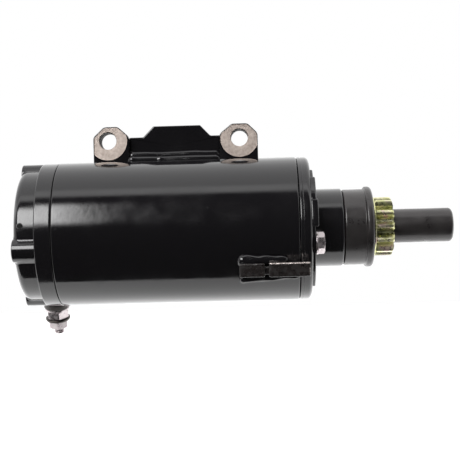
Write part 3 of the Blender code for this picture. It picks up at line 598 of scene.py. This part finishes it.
def vent(enamel):
    """The drain hole in the dome: a near-black disc flush with the dome, painted shade standing for the bore's depth,
    inside a low enamelled rim.
    """
    where = radial(5.0 * MM, 8)
    ring = mm((38.6, 1.6), (40.03, 1.65), (40.03, 1.95, 0.12), (38.6, 2.1))
    fitted(lathed("vent_rim", ring, where, 40), enamel, "black_enamel", "brush_end_cap")
    # No hole is cut: this near-black disc at the dome's surface is painted shade for the inside of the bore.
    bore_shade_disc = mm((38, 0), (38, 1.7), (40, 1.65), (40, 0))
    dark = dull_solid("unlit bore", "#020202", "#050505", 0.9, 0.95, 1)
    fitted(lathed("vent_bore", bore_shade_disc, where, 32), dark, "black_enamel", "brush_end_cap")


def drive_end_cap(enamel):
    """The cap's turned body, its raised face with two flat sides, and the stepped rib beside the front bolt."""
    start = TUBE_END + GAP
    corners = [(start, 39 * MM), (start, CAP_R, 0.9 * MM), (start + 1.9 * MM, CAP_R, 0.15 * MM)]
    corners += [(start + 2.1 * MM, CAP_R - 0.3 * MM, 0.1 * MM), (start + 2.5 * MM, CAP_R - 0.05 * MM, 0.2 * MM)]
    corners += [(DRIVE_FACE_X, CAP_R - 0.05 * MM, 2.8 * MM), (DRIVE_FACE_X, NECK_R, 2 * MM)]
    corners += [(NECK_X, NECK_R, 1.1 * MM), (NECK_X, 9.8 * MM), *mm((188, 9.8), (188, 19), (171, 19), (171, 39))]
    cap = lathed("drive_cap_body", corners, sides=192)
    fitted(cap, enamel, "black_enamel", "drive_end_cap")
    rim = CAP_R - 2.4 * MM
    corner = math.asin(PAD_HALF_HEIGHT / rim)
    angles = np.sort(np.concatenate((around(240), [corner, math.pi - corner, math.pi + corner, TAU - corner])))
    level = np.maximum(np.abs(np.sin(angles)), 1e-6)
    outside = np.minimum(rim, PAD_HALF_HEIGHT / level)
    stations = [(DRIVE_FACE_X - 1 * MM, 0), (PAD_FACE_X - 0.8 * MM, 0), (PAD_FACE_X - 0.48 * MM, 0.07)]
    stations += [(PAD_FACE_X - 0.22 * MM, 0.25), (PAD_FACE_X - 0.06 * MM, 0.5), (PAD_FACE_X, 0.8)]
    heights = np.array([x for x, _ in stations])[:, None]
    insets = np.array([inset for _, inset in stations])[:, None] * MM
    radii = np.concatenate((outside[None] - insets, np.full((2, len(angles)), NECK_R - 0.5 * MM)))
    heights = np.concatenate((heights, [[PAD_FACE_X], [DRIVE_FACE_X - 1 * MM]]))
    pad = revolved("drive_cap_face_pad", heights, radii, angles, axial(), True, sharp=60)
    fitted(pad, enamel, "black_enamel", "drive_end_cap")
    inner, outer = 37.5 * MM, 42.4 * MM
    for name, (face, low, high) in FACE_RIBS.items():
        turns = np.radians(np.linspace(low, high, 9))
        arc = [(-outer * math.cos(turn), outer * math.sin(turn)) for turn in turns]
        arc += [(-inner * math.cos(turn), inner * math.sin(turn)) for turn in turns[::-1]]
        for end in (0, 8, 9, 17):
            arc[end] = (*arc[end], 1.2 * MM)
        outline = spaced(rounded(arc, 4), 0.6 * MM)
        rib = slab("drive_cap_rib_" + name, outline, DRIVE_FACE_X - 1 * MM, face * MM, 0.9 * MM, axial(), sharp=60)
        fitted(rib, enamel, "black_enamel", "drive_end_cap")


def ear(name, x, left, right, flat_left, flat_right):
    """A bracket ear about its hole: the outline's radius at each angle is carried from back to front, in over the
    rounded rim to the round spot face, down into the chamfered hole and out at the back."""
    foot = 40.2 * MM - EAR_Z
    shoulder, top = 2.6 * MM, 8.7 * MM
    corners = [(-left, foot), (-left, shoulder, 4 * MM), (flat_left, top, 3.5 * MM)]
    corners += [(flat_right, top, 3.5 * MM), (right, shoulder, 4 * MM), (right, foot)]
    outline = spaced(rounded(corners, 5), 0.5 * MM)
    radii = np.linalg.norm(outline, axis=1)
    angles = np.arctan2(outline[:, 1], outline[:, 0])
    back, front = -17 * MM, -3 * MM
    spot = np.minimum(12 * MM, radii - 0.5 * MM)
    hole = np.full_like(radii, EAR_HOLE_R)
    rim = 0.45 * MM
    rows = [(back, radii - rim, 0), (back + rim * 0.3, radii - rim * 0.3, 0), (back + rim, radii, 0)]
    rows += [(front - rim, radii, 0), (front - rim * 0.3, radii - rim * 0.3, 0), (front, radii - rim, 0)]
    rows += [(front, spot + 0.02 * MM, 0), (front - 0.15 * MM, spot, 1), (front - 0.4 * MM, spot - 0.05 * MM, 1)]
    rows += [(front - 0.4 * MM, hole + 0.35 * MM, 1), (front - 0.7 * MM, hole, 1), (front - 0.9 * MM, hole, 0)]
    rows += [(back + 0.4 * MM, hole, 0), (back, hole + 0.4 * MM, 0)]
    heights = np.array([row[0] for row in rows])[:, None]
    shown = np.array([row[1] for row in rows])
    bare = np.array([row[2] for row in rows])[:, None]
    where = facing(x, EAR_Z)
    return revolved(name, heights, shown, angles, where, True, bare=bare, sharp=40)


def bracket(enamel):
    """Two milled ears, each with a scaled bore lining, and the pressed plate between them."""
    scale = dull_solid("scaled bore", "#171413", "#2c2624", 0.7, 0.9, 1.5)
    for name, sizes in EARS.items():
        x, left, right, flat_left, flat_right = (size * MM for size in sizes)
        shape = ear("ear_" + name, x, left, right, flat_left, flat_right)
        fitted(shape, machined_ear(x, EAR_Z), "machined_steel", "bracket_boss_" + name)
        lining = [(-16.5 * MM, EAR_HOLE_R + 0.1 * MM), (-16.5 * MM, EAR_HOLE_R - 0.05 * MM)]
        lining += [(-4.2 * MM, EAR_HOLE_R - 0.05 * MM), (-4.2 * MM, EAR_HOLE_R + 0.1 * MM)]
        lining = lathed("ear_bore_" + name, lining, facing(x, EAR_Z), 64)
        fitted(lining, scale, "machined_steel", "bracket_boss_" + name)
    low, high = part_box("bracket_plate")
    start, end, foot = low.x - 0.2 * MM, high.x + 0.2 * MM, 41 * MM
    shoulder, top = 59.6 * MM, 66.3 * MM
    corners = [(start, foot), (start, shoulder), (73.4 * MM, shoulder, 2 * MM), (80 * MM, top, 1 * MM)]
    corners += [(109.2 * MM, top, 1 * MM), (115.5 * MM, shoulder, 2 * MM), (end, shoulder), (end, foot)]
    plate = slab("bracket_web", spaced(rounded(corners, 5), 1 * MM), -14 * MM, -8 * MM, 0.7 * MM, facing())
    fitted(plate, enamel, "black_enamel", "bracket_plate")


def fillet_bead(name, x_start, x_end, wall_y, wall_top, toe_y, bulge, seed):
    """Two runs of weld metal filling the corner between a plate and the tube. The section is the line from the plate
    to the tube plus bulge (0.4 sin(pi v) + |sin(2 pi v)|^0.8), one lobe for each run, along the line's normal. It
    swells a little along its length and dies away over its last few millimetres at each end."""
    rng = np.random.default_rng(seed)
    phase = rng.uniform(0, TAU, 3)
    rows, columns = 170, 41
    t = np.linspace(0, 1, rows)[:, None]
    v = np.linspace(0, 1, columns)[None, :]
    close = dying(np.minimum(t, 1 - t) * (x_end - x_start) / (4.5 * MM))
    root = np.array((wall_y, math.sqrt(TUBE_R ** 2 - wall_y ** 2)))
    wander = 1 + 0.03 * np.sin(1.7 * TAU * t + phase[0]) + 0.008 * np.sin(4.3 * TAU * t + phase[1])
    top = root[1] - 1 * MM + (wall_top - root[1] + 1 * MM) * close * wander
    toe = root[0] + (toe_y - root[0]) * close * wander
    toe_z = np.sqrt(TUBE_R ** 2 - toe ** 2) - 0.3 * MM
    side = np.sign(toe_y - wall_y)
    lobes = 0.4 * np.sin(math.pi * v) + np.abs(np.sin(TAU * v)) ** 0.8
    blobs = 0.25 * np.exp(-((t - 0.07) / 0.03) ** 2) + 0.2 * np.exp(-((t - 0.36) / 0.02) ** 2)
    blobs = 1 + blobs * (v > 0.5)
    arch = lobes * close * bulge * blobs
    y = root[0] - side * 0.4 * MM * (1 - v) + (toe - root[0]) * v + side * arch * 0.76
    z = top + (toe_z - top) * v + arch * 0.65
    curl = 1.6 * MM * (1 - close) * (v - 0.5)
    x = np.broadcast_to(x_start + (x_end - x_start) * t, y.shape) + np.where(t < 0.5, -curl, curl)
    front = np.stack((x, y, z), -1)
    back_y = np.full((rows, 1), root[0] - side * 1.2 * MM)
    back = np.stack((x[:, :1], back_y, np.full((rows, 1), root[1] - 1.6 * MM)), -1)
    return grid_object(name, np.concatenate((front, back), 1), False, ends=True, sharp=75)


def welds(enamel):
    """The bead on each side of the bracket plate. Its sizes are how far it starts and ends from the CAD bead's ends,
    then the plate's face, the bead's top, its toe and its bulge, in millimetres, and its seed."""
    beads = {"front": (-2.9, 2.2, 8, 50.6, 2.2, 1.15, 3), "rear": (1, -1, 14, 48, 19.4, 1, 5)}
    for side, (*sizes, seed) in beads.items():
        before, after, *section = (size * MM for size in sizes)
        low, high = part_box("bracket_weld_" + side)
        bead = fillet_bead("weld_" + side, low.x + before, high.x + after, *section, seed)
        fitted(bead, enamel, "black_enamel", "bracket_weld_" + side)


def chunk(name, low, high, edge, roughness, seed, bare_metal):
    """A sawn block: a box whose side walls run round an outline with rounded corners, every point pushed in or out by
    a sum of low waves of seeded phase."""
    rng = np.random.default_rng(seed)
    corners = [(low[0], low[2]), (high[0], low[2]), (high[0], high[2]), (low[0], high[2])]
    outline = spaced(rounded([(*corner, edge) for corner in corners], 4), 0.7 * MM)
    obj = slab(name, outline, -high[1], -low[1], edge, facing(), bare_metal=bare_metal, sharp=70)
    mesh = obj.data
    points = np.empty(len(mesh.vertices) * 3)
    mesh.vertices.foreach_get("co", points)
    points = points.reshape(-1, 3)
    waves = rng.normal(size=(7, 3)) * 900
    push = np.sin(points @ waves.T + rng.uniform(0, TAU, 7)).sum(1) * roughness / 3
    points += push[:, None] * np.sign(points - points.mean(0)) * 0.5
    points = np.minimum(np.maximum(points, low), high)
    mesh.vertices.foreach_set("co", points.ravel())
    return obj


def lug(rough, enamel):
    """Two sawn blocks joined by a thinner web, and the weld beads above and below them."""
    low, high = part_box("mounting_lug")
    back = -30 * MM
    blocks = {
        "left": ((low.x, low.y, low.z + 0.2 * MM), (low.x + 14.6 * MM, back, high.z - 0.2 * MM)),
        "web": ((low.x + 12 * MM, low.y + 3 * MM, low.z + 1.5 * MM), (low.x + 19 * MM, back, high.z - 2 * MM)),
        "right": ((high.x - 23.8 * MM, low.y, low.z), (high.x, back, high.z)),
    }
    for number, (name, (a, b)) in enumerate(blocks.items()):
        # The right block's upper and right edges are bare metal: partly wear, partly painted highlight.
        block = chunk("lug_" + name, np.array(a), np.array(b), 0.7 * MM, 0.12 * MM, number + 10, name == "right")
        fitted(block, rough, "rough_black_steel", "mounting_lug")
    runs = {
        "top": (*mm((130.6, -41.2, -18), (160.3, -41.4, -17.6)), 4 * MM, 0.5),
        "bottom": (*mm((131.6, -33.9, -28.6), (167, -34.6, -27.2)), 2.7 * MM, 0.3),
    }
    for number, (name, run) in enumerate(runs.items()):
        bead = lumpy_rod("weld_lug_" + name, *run, 0.06, 2, number + 20, (0.8, 1.0))
        fitted(bead, enamel, "black_enamel", "lug_weld_" + name)


def hexagon(across_flats, angles, turn=0.0):
    """A hexagon's radius at each angle, one flat centred on the turn."""
    folded = np.mod(np.asarray(angles) - turn + math.pi / 6, math.pi / 3) - math.pi / 6
    return across_flats / 2 / np.cos(folded)


def nut(name, low, high, across_flats, bore, where, turn=0.0, chamfer_low=True):
    """A hexagon whose corners are cut back by a 30 degree cone at each end."""
    angles = np.concatenate((around(144), around(6) + turn + math.pi / 6))
    angles = np.unique(np.round(np.mod(angles, TAU), 9))
    corner, face = across_flats / math.sqrt(3), across_flats * 0.485
    drop = (corner - face) * math.tan(math.radians(30))
    stations = [(high - drop * k / 4, face + (corner - face) * k / 4) for k in range(5)]
    foot = [(low + high - height, limit) for height, limit in stations]
    stations = (foot if chamfer_low else [(low, corner)]) + stations[::-1]
    return clipped(name, stations, hexagon(across_flats, angles, turn), angles, bore, where, sharp=25)


def washer(name, low, high, radius, bore, where, sides=72):
    """A flat ring with rounded outer corners."""
    corners = [(low, bore), (low, radius, 0.3 * MM), (high, radius, 0.3 * MM), (high, bore)]
    return lathed(name, corners, where, sides)


def threaded_bar(name, low, high, radius, pitch, where, tip, sides=48):
    """A screw thread: the radius falls and rises once each pitch, a turn later by one pitch; its end is chamfered."""
    depth = 0.54 * pitch
    angles = around(sides)
    heights = np.arange(low, high, pitch / 8)
    heights = np.append(heights, high)[:, None]
    phase = np.mod(heights / pitch - angles[None, :] / TAU, 1)
    wave = np.abs(phase * 2 - 1)
    radii = radius - depth * np.clip(wave * 1.3 - 0.15, 0, 1)
    limit = radius - np.clip((heights - (high - tip)) / tip, 0, 1) ** 2 * tip * 0.8
    radii = np.minimum(radii, limit)
    zero = np.zeros((1, sides))
    heights = np.broadcast_to(heights, radii.shape)
    heights = np.concatenate((zero + low, heights, zero + high))
    radii = np.concatenate((zero, radii, zero))
    return revolved(name, heights, radii, angles, where, False, sharp=50)


def terminal(zinc, insulation, dark):
    """The insulated stud, with the insulator, two washers and two nuts stacked along it."""
    where = radial(TERMINAL_X, TERMINAL_ANGLE)
    bore = STUD_R + 0.1 * MM
    corners = [(34.4 * MM, bore), *mm((34.4, 4.8), (44.5, 4.8), (44.5, 8, 0.5), (48, 8, 0.8)), (48 * MM, bore)]
    disc = lathed("insulator_disc", corners, where, 96)
    fitted(disc, insulation, "insulator", "terminal_insulator_outer")
    flat = washer("flat_washer", 48.2 * MM, 49.4 * MM, 7.6 * MM, bore, where)
    fitted(flat, zinc, "zinc_steel", "terminal_flat_washer")
    low_nut = nut("nut_inner", 49.6 * MM, 55 * MM, 12.7 * MM, bore, where, 0.75)
    fitted(low_nut, zinc, "zinc_steel", "terminal_nut_inner")
    lock = washer("spring_lock_washer", 55.1 * MM, 56.5 * MM, 7.8 * MM, bore, where, 64)
    fitted(lock, dark, "dark_spring_steel", "terminal_lock_washer")
    high_nut = nut("nut_outer", 56.7 * MM, 61.9 * MM, 11.1 * MM, bore, where, 0.96)
    fitted(high_nut, zinc, "zinc_steel", "terminal_nut_outer")
    stud = threaded_bar("stud_thread", 44 * MM, 66.2 * MM, STUD_R, 1.27 * MM, where, 1 * MM)
    fitted(stud, zinc, "zinc_steel", "terminal_stud")


def through_bolts(zinc):
    """Each bolt's washer and head on the drive-end cap's face, and its shank down to the brush end."""
    washer_x = PAD_FACE_X + 0.1 * MM
    head_x = washer_x + 1.5 * MM
    for name, angle in BOLT_ANGLES.items():
        where = axial(0, BOLT_CIRCLE_R, angle)
        ring = washer("bolt_washer_" + name, washer_x, head_x - 0.1 * MM, 6.7 * MM, 3.4 * MM, where)
        fitted(ring, zinc, "zinc_steel", "through_bolt_washer_" + name)
        head = nut("bolt_head_" + name, head_x, head_x + 3.6 * MM, 11.1 * MM, 0.001 * MM, where, 0.0, False)
        fitted(head, zinc, "zinc_steel", "through_bolt_" + name)
        corners = [(10 * MM, 0), (10 * MM, STUD_R), (head_x + 1 * MM, STUD_R), (head_x + 1 * MM, 0)]
        fitted(lathed("bolt_shank_" + name, corners, where, 32), zinc, "zinc_steel", "through_bolt_" + name)


def drive_shell(phosphate):
    """A deep-drawn shell with a rolled lip, open towards the pinion."""
    wall = SHELL_START + 2.5 * MM
    lip = 208.4 * MM
    corners = [(SHELL_START, 7.8 * MM), (SHELL_START, 23.1 * MM, 1.2 * MM), (lip, 23.1 * MM, 0.5 * MM)]
    corners += [(lip, SHELL_LIP_R, 1.2 * MM), (SHELL_END, SHELL_LIP_R, 2.2 * MM), (SHELL_END, 20.8 * MM, 0.4 * MM)]
    corners += [(wall, 20.8 * MM, 1 * MM), (wall, 7.8 * MM)]
    shell = lathed("shell_body", corners, sides=160)
    fitted(shell, phosphate, "phosphated_steel", "drive_shell", body="armature")


def spring_cup(phosphate, zinc):
    """The sleeve round the return spring, and the nut in its recessed end."""
    corners = [(CUP_START, 9.5 * MM), (CUP_START, CUP_R, 0.4 * MM), (CUP_END, CUP_R, 2 * MM)]
    corners += [(CUP_END, 8.3 * MM, 0.5 * MM), *mm((250.5, 8.5, 0.5), (250.5, 4.3), (247, 4.3), (247, 9.5))]
    cup = lathed("cup_sleeve", corners, sides=128)
    fitted(cup, phosphate, "phosphated_steel", "spring_cup", body="armature")
    lock = nut("end_nut", 250.8 * MM, 257.5 * MM, 12.7 * MM, 4.2 * MM, axial(), math.pi / 6)
    fitted(lock, zinc, "zinc_steel", "lock_nut", body="armature")


def gear_teeth(teeth, module, flank_steps=7):
    """Radius and angle of points round an involute gear. On a flank, a tooth's half angle at radius r is its half
    angle at the pitch circle plus inv(20 degrees) minus inv(acos(base / r)), with inv(a) = tan a - a."""
    pitch_r = teeth * module / 2
    pressure = math.radians(20)
    base_r = pitch_r * math.cos(pressure)
    tip_r, root_r = pitch_r + module, pitch_r - 1.25 * module
    flank = base_r + (tip_r - base_r) * np.linspace(0, 1, flank_steps)
    tilt = np.arccos(np.clip(base_r / flank, -1, 1))
    half = math.pi / 2 / teeth + math.tan(pressure) - pressure - np.tan(tilt) + tilt
    root_half = half[0] + 0.01
    fillet_r = np.array((root_r, root_r + 0.12 * module, root_r + 0.4 * module))
    fillet_half = np.array((root_half + 0.05, root_half + 0.015, root_half - 0.004))
    radii = np.concatenate((fillet_r, flank, [tip_r, tip_r], flank[::-1], fillet_r[::-1]))
    rise = np.concatenate((fillet_half, half, [half[-1] / 3]))
    offsets = np.concatenate((-rise, rise[::-1]))
    middles = np.arange(teeth)[:, None] * TAU / teeth
    return np.tile(radii, teeth), (middles + offsets[None]).ravel()


def pinion(chromate):
    """The toothed head with its bevelled leading end, and the hub that runs on the spline inside the shell."""
    radii, angles = gear_teeth(12, 2.54 * MM)
    tip = 17.78 * MM
    start = PLATE_END + GAP
    stations = [(start, tip - 0.4 * MM), (start + 0.25 * MM, tip - 0.1 * MM), (start + 0.6 * MM, tip)]
    stations += [(PINION_END - 1.2 * MM, tip), (PINION_END - 0.7 * MM, tip - 0.3 * MM)]
    stations += [(PINION_END - 0.3 * MM, tip - 1 * MM), (PINION_END, tip - 2.2 * MM)]
    head = clipped("pinion_teeth", stations, radii, angles, 10.7 * MM, axial(), sharp=32)
    fitted(head, chromate, "yellow_zinc", "pinion", body="pinion")
    corners = [(PINION_START, 8.3 * MM), (PINION_START, 11.5 * MM, 0.4 * MM), (start + 1 * MM, 11.5 * MM)]
    corners += [(start + 1 * MM, 10.7 * MM), (210.5 * MM, 10.7 * MM), (210.5 * MM, 8.3 * MM)]
    fitted(lathed("pinion_hub", corners, sides=96), chromate, "yellow_zinc", "pinion", body="pinion")
    corners = [(PLATE_START, 11.8 * MM), (PLATE_START, PLATE_R, 0.4 * MM), (PLATE_END, PLATE_R, 0.4 * MM)]
    plate = lathed("pinion_flange", [*corners, (PLATE_END, 11.8 * MM)], sides=128)
    fitted(plate, chromate, "yellow_zinc", "pinion_plate", body="pinion")


def springs(steel):
    """Coils: the pinion's return spring, and a spring behind each brush."""
    spring = coil("return_coil", 8.8 * MM, 212.8 * MM, 246 * MM, 6, 0.5 * MM, axial())
    fitted(spring, steel, "dark_spring_steel", "return_spring", body="armature")
    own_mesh(spring)
    for number, angle in enumerate((31, 121, 211, 301), 1):
        spring = coil(f"brush_coil_{number}", 2.6 * MM, 28 * MM, 34.8 * MM, 3, 0.3 * MM, radial(BRUSH_X, angle))
        fitted(spring, steel, "dark_spring_steel", f"brush_spring_{number}")
        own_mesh(spring)


def repaint(material, *names):
    """Give carried-over CAD nodes a better finish."""
    for name in names:
        NODES[name].data.materials.clear()
        NODES[name].data.materials.append(material)


def inner_finishes(zinc, copper):
    """Finishes of the parts that are inside the caps and the tube."""
    numbered = range(1, 5)
    repaint(plain_metal("ground shaft steel", "#8f8a85", "#b9b5b0", 0.22, 0.36, 2), "armature_shaft", "spring_washer",
            "thrust_washer_brush", "thrust_washer_drive")
    repaint(plain_metal("oil-filled sintered bronze", "#7a5a32", "#b08a55", 0.4, 0.6, 0.8, 0.03), "brush_end_bushing",
            "drive_end_bushing")
    repaint(dull_solid("hard ferrite", "#2a2a2d", "#414146", 0.55, 0.75, 2.5),
            *[f"field_magnet_{n}" for n in numbered])
    repaint(dull_solid("electrographite", "#161617", "#2b2b2e", 0.5, 0.7, 0.7),
            *[f"carbon_brush_{n}" for n in numbered])
    repaint(plain_metal("stamped brass", "#9a7a3c", "#d0b06a", 0.25, 0.42, 4), "brush_plate",
            *[f"brush_box_{n}" for n in numbered])
    repaint(dull_solid("nitrile rubber", "#0e0e0e", "#1c1c1c", 0.65, 0.85, 1.5), "rubber_cushion")
    repaint(laminations(), "armature_core")
    repaint(copper, "armature_winding", "terminal_lead")
    repaint(plain_metal("turned copper segments", "#8a4a28", "#d0875a", 0.2, 0.35, 1.5), "commutator")
    repaint(zinc, "brush_plate_screw_upper", "brush_plate_screw_lower")


# ---------------------------------------------------------------- studio

# Each panel of light: between which height angles it hangs, in degrees about X from the -Y side upwards, and between
# which leans, X over the distance from the X axis, each with the width of its soft edges; and its radiance.
PANELS = {
    "overhead": ((62, 200, 4), (-3, 3, 0.5), 1.4),
    "overhead_edge": ((62, 74, 4), (-3, 3, 0.5), 0.8),
    "front_left": ((17, 48, 5), (-0.9, -0.168, 0.012), 12.5),
    "left_wall": ((-200, 200, 5), (-40, -1.7, 0.3), 1.1),
    "right_wall": ((-200, 200, 5), (1.7, 40, 0.3), 1.1),
    "below": ((-200, -90, 5), (-3, 3, 0.5), 0.75),
}
AMBIENT = 0.06


def camera():
    """A camera level with the motor, turned by a yaw, a pitch and a roll from looking along +Y."""
    view = bpy.data.cameras.new("view")
    view.sensor_width = 36
    view.lens = 82.17
    view.clip_end = 20
    eye = bpy.data.objects.new("view", view)
    bpy.context.scene.collection.objects.link(eye)
    yaw, pitch, roll = 0.0195, 0.004, -0.0268
    upright = Matrix(((1, 0, 0), (0, 0, -1), (0, 1, 0))).to_4x4()
    turned = Matrix.Rotation(yaw, 4, "Y") @ Matrix.Rotation(pitch, 4, "X") @ Matrix.Rotation(roll, 4, "Z")
    eye.matrix_world = Matrix.Translation((0.139, -0.6468, -0.0024)) @ upright @ turned
    bpy.context.scene.camera = eye


def window(tree, value, low, high, soft):
    """One between low and high, falling smoothly to nothing over the soft width at each end."""
    rise, fall = (
        add(tree, "MapRange", [(value, "Value")], interpolation_type="SMOOTHSTEP", From_Min=edge - soft,
            From_Max=edge + soft, To_Min=before, To_Max=1.0 - before)
        for edge, before in ((low, 0.0), (high, 1.0)))
    both = add(tree, "Math", [(rise.outputs["Result"], 0), (fall.outputs["Result"], 1)], operation="MULTIPLY")
    return both.outputs["Value"]


def studio():
    """A tent of soft light: a wide panel from overhead to behind, a hot panel at the front left, walls, and a dark
    front, over a white floor."""
    world = bpy.data.worlds.new("studio")
    bpy.context.scene.world = world
    world.use_nodes = True
    tree = world.node_tree
    backdrop = tree.nodes["Background"]
    backdrop.inputs["Color"].default_value = (1, 1, 1, 1)
    direction = add(tree, "TexCoord")
    parts = add(tree, "SeparateXYZ", [(direction.outputs["Generated"], "Vector")])
    x, y, z = (parts.outputs[axis] for axis in "XYZ")
    front = add(tree, "Math", [(y, 0)], operation="MULTIPLY")
    front.inputs[1].default_value = -1.0
    angle = add(tree, "Math", [(z, 0), (front.outputs["Value"], 1)], operation="ARCTAN2")
    height = add(tree, "Math", [(angle.outputs["Value"], 0)], operation="DEGREES")
    square = add(tree, "Math", [(x, 0), (x, 1)], operation="MULTIPLY")
    rest = add(tree, "Math", [(square.outputs["Value"], 1)], operation="SUBTRACT")
    rest.inputs[0].default_value = 1.0001
    reach = add(tree, "Math", [(rest.outputs["Value"], 0)], operation="SQRT")
    lean = add(tree, "Math", [(x, 0), (reach.outputs["Value"], 1)], operation="DIVIDE")
    total = None
    for heights, leans, radiance in PANELS.values():
        tall = window(tree, height.outputs["Value"], *heights)
        wide = window(tree, lean.outputs["Value"], *leans)
        lit = add(tree, "Math", [(tall, 0), (wide, 1)], operation="MULTIPLY")
        level = add(tree, "Math", [(lit.outputs["Value"], 0)], operation="MULTIPLY_ADD")
        level.inputs[1].default_value = radiance
        level.inputs[2].default_value = AMBIENT
        if total:
            tree.links.new(total, level.inputs[2])
        total = level.outputs["Value"]
    seen = add(tree, "LightPath")
    share = add(tree, "Mix", [(seen.outputs["Is Camera Ray"], "Factor"), (total, "A")], B=1.0)
    tree.links.new(share.outputs["Result"], backdrop.inputs["Strength"])
    floor_mesh = bpy.data.meshes.new("floor")
    half, near, level = 2.0, -0.06, -0.19
    floor_mesh.from_pydata([(-half, near, level), (half, near, level), (half, half, level), (-half, half, level)], [],
                           [(0, 1, 2, 3)])
    floor = bpy.data.objects.new("floor", floor_mesh)
    bpy.context.scene.collection.objects.link(floor)
    material, tree, shader, place = finish_named("matt white card", "#f0f0f0", 0.9)
    patterned(tree, shader, place, 40, 0.85, 0.95)
    floor_mesh.materials.append(material)
    wash = bpy.data.lights.new("floor_wash", "SUN")
    wash.energy = 3.2
    wash.angle = math.radians(70)
    lamp = bpy.data.objects.new("floor_wash", wash)
    bpy.context.scene.collection.objects.link(lamp)
    lamp.visible_glossy = False
    bpy.context.scene.view_settings.view_transform = "Standard"


def main():
    """Make every piece, then the studio."""
    enamel = black_enamel()
    cast = cast_enamel()
    zinc = zinc_plate()
    phosphate = phosphated_steel()
    frame_tube(enamel)
    brush_end_cap(cast)
    vent(enamel)
    drive_end_cap(cast)
    bracket(enamel)
    welds(enamel)
    lug(rough_black_steel(), enamel)
    phenolic = dull_solid("moulded phenolic", "#2a2623", "#4a4440", 0.45, 0.65, 1.5)
    terminal(zinc, phenolic, plain_metal("oiled spring steel", "#3b3836", "#5d5956", 0.3, 0.45, 1))
    through_bolts(zinc)
    drive_shell(phosphate)
    spring_cup(phosphate, zinc)
    pinion(yellow_chromate())
    springs(plain_metal("drawn spring wire", "#55514e", "#8a8682", 0.28, 0.4, 1.2))
    inner_finishes(zinc, wound_copper())
    camera()
    studio()


main()
